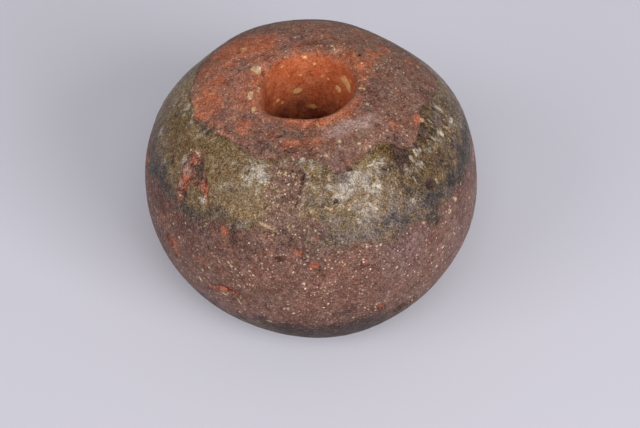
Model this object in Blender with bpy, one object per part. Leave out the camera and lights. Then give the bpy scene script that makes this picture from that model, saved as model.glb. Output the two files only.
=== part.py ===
"""Pottery net sinker: a thick ball of fired clay, flattened above and below, with one rope
hole straight down through it.

Units are metres and +Z is up. The sinker stands on the plane Z = 0, and the origin lies
under the middle of its outline. The front, with the gouge, faces -Y.

The form is worked out around the ball's centre, which lies on the axis of the hole at
the widest level. An azimuth is in degrees from the front, positive toward +X, and an
elevation is in degrees above the widest level.
"""

import math

import bmesh
import bpy
import numpy as np
from mathutils import Matrix, Vector

# Driving dimensions, in metres
DIAMETER = 0.100            # across the ball at its widest
TOP_RISE = 0.0387           # widest level up to the flattened top
BASE_DROP = 0.0364          # widest level down to the flat that it stands on
TOP_PRESSED = 0.0046        # how much of the round crown the flattening took away
BASE_PRESSED = 0.0076       # how much of the round underside the flattening took away
BASE_ROUNDING = 0.0017      # softness of the edge around the flat underside
HOLE_WIDTH = 0.0264         # rope hole, from side to side (X)
HOLE_LENGTH = 0.0272        # rope hole, from front to back (Y)
NOTCH_DEPTH = 0.0023        # corner that the rope wore into the hole's upper edge
NOTCH_FADE = 0.0180         # how far down the hole that corner runs out
TOP_LIP = 0.0030            # rounding of the hole's upper edge
BASE_LIP = 0.0020           # rounding of the hole's lower edge

# Proportions of the hand-formed ball
FULLNESS = 2.15             # 2 is an ellipse in section, more is squarer
SHOULDER_SHARPNESS = 16     # the higher, the crisper the edge between a flat and the ball
TOP_TILT_X = 0.013          # slope of the top, rising toward +X
TOP_TILT_Y = 0.020          # slope of the top, rising toward +Y

NOTCH_AZIMUTH = -48         # where the rope wore the hole's corner
NOTCH_SPREAD = 22           # degrees
PINCH_AZIMUTH = 60          # where the hole is narrower than its oval
PINCH_SPREAD = 38           # degrees
PINCH_SHARE = 0.080         # of the hole's radius

# The places where the ball swells out or was pressed in by hand:
# azimuth, elevation, spread in degrees, and height as a share of the ball's radius there
SWELLS = (
    (140, 35, 16, -0.023),
    (-171, 41, 14, -0.005),
    (-144, 36, 16, 0.005),
    (-129, 29, 16, -0.019),
    (-131, 30, 6, -0.006),
    (-73, -15, 16, -0.006),
    (-52, -29, 16, -0.014),
    (-26, -39, 16, -0.021),
    (19, -40, 16, 0.011),
    (79, -10, 16, 0.013),
    (114, 20, 14, 0.005),
)

# Losses in the surface. Each is a broken scoop from one place to another, given as azimuth
# and elevation, with its width and depth as shares of the diameter
CHIPS = (
    ("gouge_left_leg", (-55.0, 38.5), (-53.0, 24.5), 0.034, 0.014),
    ("gouge_right_leg", (-53.5, 38.0), (-42.5, 31.0), 0.030, 0.012),
    ("gouge_heart", (-53.0, 36.5), (-50.5, 33.5), 0.044, 0.018),
    ("left_flake", (-54.5, 5.5), (-50.5, 2.0), 0.032, 0.008),
    ("lower_left_flake", (-31.5, -1.0), (-24.0, 0.0), 0.032, 0.010),
    ("front_pit", (0.5, 16.2), (2.0, 16.0), 0.025, 0.009),
    ("front_left_dent", (-11.5, 17.8), (-9.0, 18.5), 0.026, 0.007),
    ("front_right_dent", (16.0, 13.2), (19.0, 13.8), 0.022, 0.006),
    ("lower_right_pit", (22.0, -7.8), (24.0, -7.0), 0.024, 0.013),
    ("lower_right_chip", (30.5, -15.5), (33.5, -14.5), 0.030, 0.015),
    ("low_notch", (38.0, -15.0), (40.0, -14.2), 0.022, 0.010),
    ("rim_pit", (-114.0, 69.5), (-111.0, 70.5), 0.024, 0.011),
    ("top_slot", (-25.0, 59.0), (-21.0, 60.5), 0.016, 0.010),
)
BREAK_ROUGHNESS = 0.14      # unevenness of a broken scoop, as a share of its size
BREAK_SEED = 5              # start of the numbers that shape that unevenness

# Fineness of the mesh
AROUND = 96                 # points around the sinker
WALL_STEPS = 30             # rows down the outside, lip to base
BASE_STEPS = 4              # rows across the flat underside
LIP_STEPS = 4               # rows around each lip of the hole
HOLE_STEPS = 8              # rows down the hole
HALVINGS = 40               # steps of the search for a place on the surface
SLOPE_STEP = 0.5            # degrees between the points that a surface slope is read from
NEVER_REACHED = 0.001       # stands for a plane that lies behind a direction
SCOOP_DETAIL = 2            # subdivisions of a scoop's ball
CREASE_ANGLE = 40           # degrees, edges bent more than this are shaded sharp

CLAY_COLOUR = (0.190, 0.098, 0.072, 1.0)
CLAY_ROUGHNESS = 0.72


def direction(azimuth, elevation):
    """Unit vectors for azimuths and elevations in degrees."""
    turn = np.radians(azimuth)
    lift = np.radians(elevation)
    flat = np.cos(lift)
    return np.stack([flat * np.sin(turn), -flat * np.cos(turn), np.sin(lift) + 0 * turn], axis=-1)


def soft_smallest(lengths):
    """The smallest of several lengths, with the change from one to the next rounded over."""
    total = sum(length ** -SHOULDER_SHARPNESS for length in lengths)
    return total ** (-1 / SHOULDER_SHARPNESS)


def ball_reach(way):
    """Distance from the centre to the ball before it was flattened, along unit vectors."""
    sideways = np.hypot(way[..., 0], way[..., 1]) / (DIAMETER / 2)
    half_height = np.where(way[..., 2] > 0, TOP_RISE + TOP_PRESSED, BASE_DROP + BASE_PRESSED)
    upright = np.abs(way[..., 2]) / half_height
    reach = (sideways ** FULLNESS + upright ** FULLNESS) ** (-1 / FULLNESS)
    for azimuth, elevation, spread, share in SWELLS:
        nearness = np.clip(way @ direction(azimuth, elevation), -1, 1)
        away = np.degrees(np.arccos(nearness))
        reach = reach * (1 + share * np.exp(-(away / spread) ** 2))
    return reach


def plane_reach(depth):
    """Distance to a plane, from the share of that plane's depth which each metre covers."""
    return 1 / np.maximum(depth, NEVER_REACHED)


def surface_reach(way):
    """Distance from the centre to the outside of the sinker, above its flat base."""
    rise = way[..., 2] - TOP_TILT_X * way[..., 0] - TOP_TILT_Y * way[..., 1]
    top = plane_reach(rise / TOP_RISE)
    base = plane_reach(-way[..., 2] / (BASE_DROP + BASE_ROUNDING))
    return soft_smallest((ball_reach(way), top, base))


def surface_point(azimuth, elevation):
    """Points on the outside, from the ball's centre."""
    way = direction(azimuth, elevation)
    return way * surface_reach(way)[..., None]


def bell(azimuth, middle, spread):
    """1 at the middle azimuth, falling to 0 on both sides over the spread."""
    away = (azimuth - middle + 180) % 360 - 180
    return np.exp(-(away / spread) ** 2)


def hole_radius(azimuth, depth):
    """Radius of the rope hole at each azimuth, at a depth below its upper edge."""
    turn = np.radians(azimuth)
    oval = 1 / np.hypot(np.sin(turn) / (HOLE_WIDTH / 2), np.cos(turn) / (HOLE_LENGTH / 2))
    pinched = oval * (1 - PINCH_SHARE * bell(azimuth, PINCH_AZIMUTH, PINCH_SPREAD))
    worn = NOTCH_DEPTH * math.exp(-(depth / NOTCH_FADE) ** 2)
    return pinched + worn * bell(azimuth, NOTCH_AZIMUTH, NOTCH_SPREAD)


def find_elevation(azimuth, low, high, is_above):
    """Halve the span of elevations until it closes on the place where is_above changes."""
    low = np.full_like(azimuth, low)
    high = np.full_like(azimuth, high)
    for _ in range(HALVINGS):
        middle = (low + high) / 2
        above = is_above(surface_point(azimuth, middle))
        high = np.where(above, middle, high)
        low = np.where(above, low, middle)
    return (low + high) / 2


def around_axis(azimuth, radius, height):
    """Points at a radius and height around the axis of the hole."""
    turn = np.radians(azimuth)
    return np.stack([radius * np.sin(turn), -radius * np.cos(turn), height + 0 * turn], axis=-1)


def slice_rows():
    """Rows of points around the sinker: out over the top, down, under and back up the hole."""
    azimuth = np.arange(AROUND) * 360 / AROUND
    whole_depth = TOP_RISE + BASE_DROP
    mouth = hole_radius(azimuth, 0)
    foot = hole_radius(azimuth, whole_depth)

    def inside_lip(points):
        return np.hypot(points[..., 0], points[..., 1]) < mouth + TOP_LIP

    def above_base(points):
        return points[..., 2] > -BASE_DROP

    top_edge = find_elevation(azimuth, 0, 90, inside_lip)
    base_edge = find_elevation(azimuth, -90, 0, above_base)
    rows = []
    for step in range(WALL_STEPS + 1):
        share = step / WALL_STEPS
        rows.append(surface_point(azimuth, top_edge + (base_edge - top_edge) * share))
    rim = np.hypot(rows[-1][:, 0], rows[-1][:, 1])
    rows[-1][:, 2] = -BASE_DROP
    lip_height = rows[0][:, 2]
    for step in range(1, BASE_STEPS):
        share = step / BASE_STEPS
        rows.append(around_axis(azimuth, rim + (foot + BASE_LIP - rim) * share, -BASE_DROP))
    for step in range(LIP_STEPS + 1):
        bend = math.pi / 2 * step / LIP_STEPS
        radius = foot + BASE_LIP * (1 - math.sin(bend))
        rows.append(around_axis(azimuth, radius, -BASE_DROP + BASE_LIP * (1 - math.cos(bend))))
    hole_bottom = -BASE_DROP + BASE_LIP
    hole_top = lip_height - TOP_LIP
    for step in range(1, HOLE_STEPS):
        share = step / HOLE_STEPS
        radius = hole_radius(azimuth, whole_depth * (1 - share))
        rows.append(around_axis(azimuth, radius, hole_bottom + (hole_top - hole_bottom) * share))
    for step in range(LIP_STEPS):
        bend = math.pi / 2 * step / LIP_STEPS
        radius = mouth + TOP_LIP * (1 - math.cos(bend))
        rows.append(around_axis(azimuth, radius, hole_top + TOP_LIP * math.sin(bend)))
    return np.array(rows)


def ground_shift(rows):
    """The move that puts the base on Z = 0 and the outline's middle on the origin."""
    points = rows.reshape(-1, 3)
    middle = (points.min(axis=0) + points.max(axis=0)) / 2
    return np.array([-middle[0], -middle[1], BASE_DROP])


def clay_material():
    """Brown fired clay."""
    material = bpy.data.materials.new("fired_clay")
    material.use_nodes = True
    shader = material.node_tree.nodes["Principled BSDF"]
    shader.inputs["Base Color"].default_value = CLAY_COLOUR
    shader.inputs["Roughness"].default_value = CLAY_ROUGHNESS
    shader.inputs["Metallic"].default_value = 0.0
    return material


def add_object(name, mesh_maker):
    """A new object whose mesh is drawn by mesh_maker(bm)."""
    mesh = bpy.data.meshes.new(name)
    bm = bmesh.new()
    mesh_maker(bm)
    bm.to_mesh(mesh)
    bm.free()
    new_object = bpy.data.objects.new(name, mesh)
    bpy.context.scene.collection.objects.link(new_object)
    return new_object


def build_body(rows, shift):
    """The clay body as one closed skin of four-sided faces, hole included."""

    def draw(bm):
        grid = [[bm.verts.new(point) for point in row + shift] for row in rows]
        for upper, lower in zip(grid, grid[1:] + grid[:1]):
            for here in range(AROUND):
                after = (here + 1) % AROUND
                bm.faces.new((upper[here], lower[here], lower[after], upper[after]))
        bmesh.ops.recalc_face_normals(bm, faces=bm.faces)

    body = add_object("sinker_body", draw)
    body.data.materials.append(clay_material())
    return body


def outward(azimuth, elevation):
    """The direction that the surface faces at one place."""
    across = surface_point(azimuth + SLOPE_STEP, elevation) - surface_point(azimuth - SLOPE_STEP, elevation)
    along = surface_point(azimuth, elevation + SLOPE_STEP) - surface_point(azimuth, elevation - SLOPE_STEP)
    return Vector(np.cross(across, along)).normalized()


def build_scoop(name, start, end, width_share, depth_share, shift, chance):
    """A long, rough, rounded cutter, half sunk in the surface, from start to end."""
    width = width_share * DIAMETER
    first = Vector(surface_point(*start))
    last = Vector(surface_point(*end))
    run = last - first
    centre_place = [(a + b) / 2 for a, b in zip(start, end)]
    out = outward(*centre_place)
    lengthwise = (run - out * run.dot(out)).normalized()
    sideways = out.cross(lengthwise)
    turned = Matrix((lengthwise, sideways, out)).transposed().to_4x4()
    half_sizes = ((run.length + width) / 2, width / 2, depth_share * DIAMETER)
    centre = Vector(surface_point(*centre_place)) + Vector(shift)
    place = Matrix.Translation(centre) @ turned @ Matrix.Diagonal((*half_sizes, 1))

    def draw(bm):
        bmesh.ops.create_icosphere(bm, subdivisions=SCOOP_DETAIL, radius=1)
        for vertex in bm.verts:
            vertex.co *= 1 + BREAK_ROUGHNESS * chance.uniform(-1, 1)
        bmesh.ops.transform(bm, matrix=place, verts=bm.verts)

    scoop = add_object(name, draw)
    scoop.hide_render = True
    scoop.display_type = "WIRE"
    return scoop


def cut(body, scoop):
    """Take the scoop's form out of the body."""
    modifier = body.modifiers.new(scoop.name, "BOOLEAN")
    modifier.operation = "DIFFERENCE"
    modifier.solver = "EXACT"
    modifier.object = scoop


def main():
    for old in list(bpy.data.objects):
        bpy.data.objects.remove(old, do_unlink=True)
    rows = slice_rows()
    shift = ground_shift(rows)
    body = build_body(rows, shift)
    chance = np.random.RandomState(BREAK_SEED)
    for name, start, end, width_share, depth_share in CHIPS:
        cut(body, build_scoop(name, start, end, width_share, depth_share, shift, chance))
    body.data.shade_smooth()
    body.data.set_sharp_from_angle(angle=math.radians(CREASE_ANGLE))


main()
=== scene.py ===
# %% [markdown]
# # A pottery net sinker
#
# This lesson gives one lump of fired clay its surface. It is a weight from the foot of a
# fishing net: a potter pressed a thick ball of coarse clay flat above and below, and put a
# rope hole straight down through it. In the kiln, wood ash settled on its shoulder and melted
# into a thin green-brown glaze. The top and the hole stayed bare, and turned orange in places.
#
# The sinker is already measured and modelled as a plain solid. What follows adds what the
# hand, the fire and years of use left on it. Lengths are in millimetres, and in metres only
# where a comment says so. +Z is up, and the front looks toward -Y.

import bpy
import numpy as np
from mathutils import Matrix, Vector
from mathutils.bvhtree import BVHTree


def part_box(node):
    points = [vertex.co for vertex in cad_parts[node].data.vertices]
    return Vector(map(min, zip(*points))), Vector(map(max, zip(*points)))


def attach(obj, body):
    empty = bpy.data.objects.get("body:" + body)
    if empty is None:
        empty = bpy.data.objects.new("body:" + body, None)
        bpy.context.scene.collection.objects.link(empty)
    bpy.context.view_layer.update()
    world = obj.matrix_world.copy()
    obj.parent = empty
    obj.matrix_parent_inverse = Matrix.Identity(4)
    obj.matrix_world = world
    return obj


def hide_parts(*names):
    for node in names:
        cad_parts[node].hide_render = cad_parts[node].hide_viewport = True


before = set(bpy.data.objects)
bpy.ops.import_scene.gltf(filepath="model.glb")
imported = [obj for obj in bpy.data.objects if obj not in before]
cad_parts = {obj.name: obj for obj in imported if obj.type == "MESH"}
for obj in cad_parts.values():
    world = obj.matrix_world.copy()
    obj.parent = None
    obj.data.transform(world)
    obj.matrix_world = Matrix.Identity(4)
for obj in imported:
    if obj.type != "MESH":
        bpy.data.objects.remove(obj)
MM = 0.001              # one millimetre, in metres
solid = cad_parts["sinker_body"]
solid_low, solid_high = (np.array(corner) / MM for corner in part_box("sinker_body"))
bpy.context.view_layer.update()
print("the solid measures, in mm:", (solid_high - solid_low).round(1))

# %% [markdown]
# ## The form
#
# A hand-pressed ball could be sculpted, or turned on a lathe and then bent. Here it is a
# formula, so that the fine skin and the plain solid agree. From a centre inside the ball, each
# direction has a reach: the reach of the round ball, of the flat top or of the flat base,
# whichever is shortest, with the change between them rounded over. Swells and flat places are
# soft bells laid over the reach of the ball.

# %% Sizes and proportions of the ball
DIAMETER = 100.0
TOP_RISE = 38.7         # from the ball's centre up to the flat top
BASE_DROP = 36.4        # and down to the flat base
TOP_PRESSED = 4.6       # how far a round ball would stand above the flat top
BASE_PRESSED = 7.6      # and below the flat base
BASE_ROUNDING = 1.7     # the plane that rounds the foot lies this far below the base
FULLNESS = 2.15         # at 2 the ball is an ellipse, and above that it is squarer
SHOULDER_SHARPNESS = 16
TOP_TILT_X = 0.013      # how much the top rises for each millimetre toward +X
TOP_TILT_Y = 0.020      # and toward +Y
NEVER_REACHED = 0.001

# Azimuth, elevation and spread in degrees, and height as a share of the ball's radius
SWELLS = (
    (140, 35, 16, -0.023),
    (-171, 41, 14, -0.005),
    (-144, 36, 16, 0.005),
    (-129, 29, 16, -0.019),
    (-131, 30, 6, -0.006),
    (-73, -15, 16, -0.006),
    (-52, -29, 16, -0.014),
    (-26, -39, 16, -0.021),
    (19, -40, 16, 0.011),
    (79, -10, 16, 0.013),
    (114, 20, 14, 0.005),
)


def direction(azimuth, elevation):
    """A unit vector: azimuth turns from the front toward +X, elevation lifts it to +Z."""
    turn = np.radians(azimuth)
    lift = np.radians(elevation)
    flat = np.cos(lift)
    return np.stack([flat * np.sin(turn), -flat * np.cos(turn), np.sin(lift) + 0 * turn], axis=-1)


def ball_reach(way):
    """The squashed ball: sideways share and upright share, each to the power FULLNESS, add up
    to one on it. Each swell multiplies the reach by one plus its height times a bell."""
    sideways = np.hypot(way[..., 0], way[..., 1]) / (DIAMETER / 2)
    half_height = np.where(way[..., 2] > 0, TOP_RISE + TOP_PRESSED, BASE_DROP + BASE_PRESSED)
    upright = np.abs(way[..., 2]) / half_height
    reach = (sideways ** FULLNESS + upright ** FULLNESS) ** (-1 / FULLNESS)
    for azimuth, elevation, spread, share in SWELLS:
        nearness = np.clip(way @ direction(azimuth, elevation), -1, 1)
        away = np.degrees(np.arccos(nearness))
        reach = reach * (1 + share * np.exp(-(away / spread) ** 2))
    return reach


def surface_reach(way):
    """The soft smallest of three reaches: each to the power -SHOULDER_SHARPNESS, added up, and
    the sum to the power -1 / SHOULDER_SHARPNESS. The top is a plane with a slight tilt, and the
    base is a level one. A way that never meets a plane gets a reach that is far too long."""
    climb = way[..., 2] - TOP_TILT_X * way[..., 0] - TOP_TILT_Y * way[..., 1]
    top = 1 / np.maximum(climb / TOP_RISE, NEVER_REACHED)
    base = 1 / np.maximum(-way[..., 2] / (BASE_DROP + BASE_ROUNDING), NEVER_REACHED)
    total = sum(reach ** -SHOULDER_SHARPNESS for reach in (ball_reach(way), top, base))
    return total ** (-1 / SHOULDER_SHARPNESS)


def surface_point(azimuth, elevation):
    """The place on the outside in that direction from the ball's centre."""
    way = direction(azimuth, elevation)
    return way * surface_reach(way)[..., None]


print("reach to the front shoulder, in mm:", np.linalg.norm(surface_point(0.0, 50.0)).round(1))

# %% [markdown]
# ## The rope hole
#
# The hole was made around a stick, so it is a slightly flattened round. The rope has worn a
# shallow corner into its upper edge at the front left, and opposite that it is a little
# narrower. Both are again bells laid over the radius of an oval.

# %% Radius of the rope hole
HOLE_WIDTH = 26.4       # along X
HOLE_LENGTH = 27.2      # along Y
NOTCH_DEPTH = 2.3
NOTCH_FADE = 18.0       # at this depth about a third of the worn corner is left
NOTCH_AZIMUTH = -48
NOTCH_SPREAD = 22
PINCH_AZIMUTH = 60
PINCH_SPREAD = 38
PINCH_SHARE = 0.080
LIP_BACK = 3.0          # radius of the upper lip's rounding at the back
LIP_FRONT = 1.6         # and at the front
LIP_SPREAD = 75
BASE_LIP = 2.0


def bell(azimuth, middle, spread):
    """One at the middle azimuth, falling to none on both sides: e to the minus (away/spread)²."""
    away = (azimuth - middle + 180) % 360 - 180
    return np.exp(-(away / spread) ** 2)


def hole_radius(azimuth, depth):
    """An oval, pinched on one side and worn deeper at the notch, which fades down the hole."""
    turn = np.radians(azimuth)
    oval = 1 / np.hypot(np.sin(turn) / (HOLE_WIDTH / 2), np.cos(turn) / (HOLE_LENGTH / 2))
    pinched = oval * (1 - PINCH_SHARE * bell(azimuth, PINCH_AZIMUTH, PINCH_SPREAD))
    worn = NOTCH_DEPTH * np.exp(-(depth / NOTCH_FADE) ** 2)
    return pinched + worn * bell(azimuth, NOTCH_AZIMUTH, NOTCH_SPREAD)


def around_axis(azimuth, radius, height):
    """Places at a radius and a height around the axis of the hole."""
    turn = np.radians(azimuth)
    return np.stack([radius * np.sin(turn), -radius * np.cos(turn), height + 0 * turn], axis=-1)


print("hole at its mouth, in mm:", hole_radius(np.array([-48.0, 0.0, 60.0]), 0).round(1))

# %% [markdown]
# ## One closed skin
#
# The skin is a grid without an edge: its columns go around the sinker, and its rows go out
# over the top, down the wall, under the base, up the hole and back over the upper lip. Such a
# grid has no pole and no seam. The columns stand closer together at the front, where the
# broken places are, and the rows are closer near the top, outside and in the hole. The upper
# lip is sharper at the front, where it was handled less.

# %% The grid of places, before any wear
AROUND = 424
WALL_ROWS = 158
BASE_ROWS = 6
BASE_LIP_ROWS = 5
HOLE_ROWS = 52
TOP_LIP_ROWS = 12
FRONT_CLOSER = 0.34     # at 0 the columns would be spaced evenly
TOP_CLOSER = 0.20       # and the same for the rows of the wall
HOLE_TOP_CLOSER = 0.60  # and those of the hole
HALVINGS = 40

round_turn = np.arange(AROUND) / AROUND * 2 * np.pi
columns = np.degrees(round_turn - FRONT_CLOSER * np.sin(round_turn))
mouth = hole_radius(columns, 0)
foot = hole_radius(columns, TOP_RISE + BASE_DROP)
lip = LIP_BACK - (LIP_BACK - LIP_FRONT) * bell(columns, 0, LIP_SPREAD)


def find_elevation(low, high, is_above):
    """Halves the span of elevations until it closes on the place where is_above changes."""
    low = np.full(AROUND, float(low))
    high = np.full(AROUND, float(high))
    for _ in range(HALVINGS):
        middle = (low + high) / 2
        above = is_above(surface_point(columns, middle))
        high = np.where(above, middle, high)
        low = np.where(above, low, middle)
    return (low + high) / 2


top_edge = find_elevation(0, 90, lambda p: np.hypot(p[:, 0], p[:, 1]) < mouth + lip)
base_edge = find_elevation(-90, 0, lambda p: p[:, 2] > -BASE_DROP)
print("the wall runs from", top_edge.mean().round(1), "to", base_edge.mean().round(1), "degrees")


def steps(count, first=0, last=0):
    """Shares of the way from 0 to 1 as a column of numbers, leaving out some at either end."""
    return (np.arange(first, count + 1 - last) / count)[:, None]


def wall_and_base():
    """Rows down the outside, at elevations between the two edges, and rows straight across
    the flat base to the hole."""
    share = steps(WALL_ROWS)
    share = share * (1 - TOP_CLOSER) + TOP_CLOSER * share ** 2
    wall = surface_point(columns + 0 * share, top_edge + (base_edge - top_edge) * share)
    wall[-1, :, 2] = -BASE_DROP
    rim = np.hypot(wall[-1, :, 0], wall[-1, :, 1])
    share = steps(BASE_ROWS, first=1, last=1)
    base = around_axis(columns + 0 * share, rim + (foot + BASE_LIP - rim) * share, -BASE_DROP)
    return [wall, base]


def hole_and_lips(lip_height):
    """Rows around a quarter circle at the base lip, up the hole, and around a quarter circle
    at the top lip."""
    bend = np.pi / 2 * steps(BASE_LIP_ROWS)
    base_lip = around_axis(columns + 0 * bend, foot + BASE_LIP * (1 - np.sin(bend)),
                           -BASE_DROP + BASE_LIP * (1 - np.cos(bend)))
    share = steps(HOLE_ROWS, first=1, last=1)
    share = share * (1 + HOLE_TOP_CLOSER) - HOLE_TOP_CLOSER * share ** 2
    bottom = -BASE_DROP + BASE_LIP
    top = lip_height - lip
    hole = around_axis(columns + 0 * share,
                       hole_radius(columns, (TOP_RISE + BASE_DROP) * (1 - share)),
                       bottom + (top - bottom) * share)
    bend = np.pi / 2 * steps(TOP_LIP_ROWS, last=1)
    top_lip = around_axis(columns + 0 * bend, mouth + lip * (1 - np.cos(bend)),
                          top + lip * np.sin(bend))
    return [base_lip, hole, top_lip]


outside = wall_and_base()
skin = np.concatenate(outside + hole_and_lips(outside[0][0, :, 2]))
row = np.arange(len(skin))[:, None] + np.zeros(AROUND, dtype=int)
azimuth = columns + np.zeros((len(skin), 1))
azimuth = (azimuth + 180) % 360 - 180
elevation = np.degrees(np.arcsin(skin[..., 2] / np.linalg.norm(skin, axis=-1)))
print("grid:", skin.shape[:2], "triangles:", 2 * skin.shape[0] * skin.shape[1])

# %% [markdown]
# The finishes need to know whether a place is outside or in the hole, so one more value goes
# with each row: none on the outside, one in the hole, and a smooth change over the lips.

# %% How far each place is into the hole
first_hole_row = WALL_ROWS + BASE_ROWS
into_hole = np.interp(row, (first_hole_row, first_hole_row + BASE_LIP_ROWS), (0.0, 1.0))
last_hole_row = first_hole_row + BASE_LIP_ROWS + HOLE_ROWS
into_hole = into_hole * np.interp(row, (last_hole_row, len(skin)), (1.0, 0.0))
out_of_hole = 1 - into_hole
hole_depth = np.maximum(skin[0, :, 2] - skin[..., 2], 0) * into_hole
print("deepest place in the hole, in mm:", hole_depth.max().round(1))

# %% [markdown]
# ## Noise for clay
#
# Coarse clay is uneven at every size. Two kinds of noise make that here. Waves are random
# numbers at the corners of a cell, blended smoothly in between. Pebbles are random points, one
# to a cell, and the distance to the nearest of them. Both are worked out for all places of
# the grid at once, from their position in space, so they have no seam.

# %% Waves and pebbles
SCRAMBLERS = (73856093, 19349663, 83492791)
SEED_SCRAMBLER = 2654435761
FOLD_SCRAMBLER = 73244475
LOW_BITS = 0xFFFFFFFF


def scramble(corner, seed):
    """A number from 0 to 1 for each whole-numbered corner: its three counts are multiplied by
    large numbers and joined, and the bits of the result are folded over each other twice."""
    counts = corner.astype(np.int64)
    mixed = seed * SEED_SCRAMBLER
    for axis, scrambler in enumerate(SCRAMBLERS):
        mixed = mixed ^ (counts[..., axis] * scrambler)
    mixed = mixed & LOW_BITS
    for _ in range(2):
        mixed = ((mixed >> 16) ^ mixed) * FOLD_SCRAMBLER & LOW_BITS
    return ((mixed >> 16) ^ mixed) / LOW_BITS


def waves(place, size, seed):
    """Noise from -1 to 1: the numbers at a cell's eight corners, blended by 3t² - 2t³."""
    spot = place / size
    corner = np.floor(spot)
    share = spot - corner
    share = share * share * (3 - 2 * share)
    total = 0
    for step in np.ndindex(2, 2, 2):
        weight = np.prod(np.where(step, share, 1 - share), axis=-1)
        total = total + weight * scramble(corner + step, seed)
    return total * 2 - 1


def rough_waves(place, size, seed, layers=3):
    """Waves laid over each other, each layer half the size and half the height of the last."""
    total = 0
    for layer in range(layers):
        total = total + waves(place, size / 2 ** layer, seed + layer) / 2 ** layer
    return total / (2 - 2 ** (1 - layers))


def pebbles(place, size, seed):
    """Distance to the nearest strewn point, in millimetres, and a number of that point's own."""
    spot = place / size
    home = np.floor(spot)
    nearest = np.full(spot.shape[:-1], np.inf)
    own = np.zeros(spot.shape[:-1])
    for step in np.ndindex(3, 3, 3):
        corner = home + np.array(step) - 1
        jitter = np.stack([scramble(corner, seed + axis) for axis in range(3)], axis=-1)
        away = np.linalg.norm(corner + jitter - spot, axis=-1)
        own = np.where(away < nearest, scramble(corner, seed + 3), own)
        nearest = np.minimum(nearest, away)
    return nearest * size, own


def smooth_step(value, low, high):
    """None below low, one above high, and an S-shaped rise between them."""
    share = np.clip((value - low) / (high - low), 0, 1)
    return share * share * (3 - 2 * share)


print("height of fine waves:", np.abs(waves(skin, 2.0, 1)).mean().round(2))

# %% [markdown]
# ## Drawing on the ball
#
# Each finish keeps to its own place on the sinker. A place is named by azimuth and elevation,
# as on a globe. Three helpers turn such names into a reach in millimetres, above zero inside
# the place and below zero outside it, because a shader can later cut a reach off with a crisp
# and ragged edge that is finer than the mesh.

# %% Reach of spots, lines and outlines
DEGREE = 0.85           # one degree on the ball's surface, in millimetres
FAR_OFF = -99.0
TINY = 1e-9


def spot_reach(spots):
    """For round spots of (azimuth, elevation, radius): the largest radius less distance."""
    reach = np.full(azimuth.shape, FAR_OFF)
    for spot_azimuth, spot_elevation, radius in spots:
        away = np.linalg.norm(skin - surface_point(spot_azimuth, spot_elevation), axis=-1)
        reach = np.maximum(reach, radius - away)
    return reach


def line_reach(lines):
    """For lines of (width, place, place, ...): half the width less the distance to the line,
    which is the distance to the nearest point of each straight stretch. A line with one place
    is a round dab."""
    reach = np.full(azimuth.shape, FAR_OFF)
    for width, *places in lines:
        corners = [surface_point(*place) for place in places]
        for first, last in zip(corners, corners[1:] or corners):
            run = last - first
            share = np.clip((skin - first) @ run / (run @ run + TINY), 0, 1)
            away = np.linalg.norm(skin - first - share[..., None] * run, axis=-1)
            reach = np.maximum(reach, width / 2 - away)
    return reach


def outline_reach(outline):
    """For a closed outline: the distance to its nearest side, above zero inside it. A place is
    inside where an odd number of sides cross the line that runs from it toward +azimuth."""
    corners = np.array(outline, dtype=float)
    middle = corners.mean(axis=0)
    narrowing = np.cos(np.radians(middle[1]))
    across = ((azimuth - middle[0] + 180) % 360 - 180) * narrowing * DEGREE
    up = (elevation - middle[1]) * DEGREE
    corners = (corners - middle) * (narrowing * DEGREE, DEGREE)
    nearest = np.full(azimuth.shape, -FAR_OFF)
    crossings = np.zeros(azimuth.shape, dtype=int)
    for (x0, y0), (x1, y1) in zip(corners, np.roll(corners, -1, axis=0)):
        run_x, run_y = x1 - x0, y1 - y0
        share = ((across - x0) * run_x + (up - y0) * run_y) / (run_x ** 2 + run_y ** 2)
        share = np.clip(share, 0, 1)
        away = np.hypot(across - x0 - share * run_x, up - y0 - share * run_y)
        nearest = np.minimum(nearest, away)
        spans = (y0 > up) != (y1 > up)
        height_share = (up - y0) / (run_y if run_y else 1.0)
        crossings += spans & (across < x0 + height_share * run_x)
    return np.where(crossings % 2 == 1, nearest, -nearest)


def blobs(places):
    """For soft blobs of (azimuth, elevation, radius, strength): strength times a bell of the
    distance over the radius, and the strongest of them where they overlap."""
    weight = np.zeros(azimuth.shape)
    for blob_azimuth, blob_elevation, radius, strength in places:
        away = np.linalg.norm(skin - surface_point(blob_azimuth, blob_elevation), axis=-1)
        weight = np.maximum(weight, strength * np.exp(-(away / radius) ** 2))
    return weight * out_of_hole


def edge_height(edge):
    """The elevation of a line drawn all around the ball, between its named places."""
    places = sorted(edge)
    return np.interp(azimuth, [p[0] for p in places], [p[1] for p in places], period=360)


print("grid columns per degree at the front:", round(AROUND / 360 / (1 - FRONT_CLOSER), 2))

# %% [markdown]
# ## Where the ash glaze lies
#
# Ash falls on a shoulder and melts there: a band between an upper edge, where the flat top
# starts, and a lower edge, where there was too little ash to run. The upper edge is crisp at
# the sides, because the glaze broke off along it, and vague in the middle of the front. There
# the glaze has also worn through to brown clay. At the right it is thick and rugged.

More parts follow.
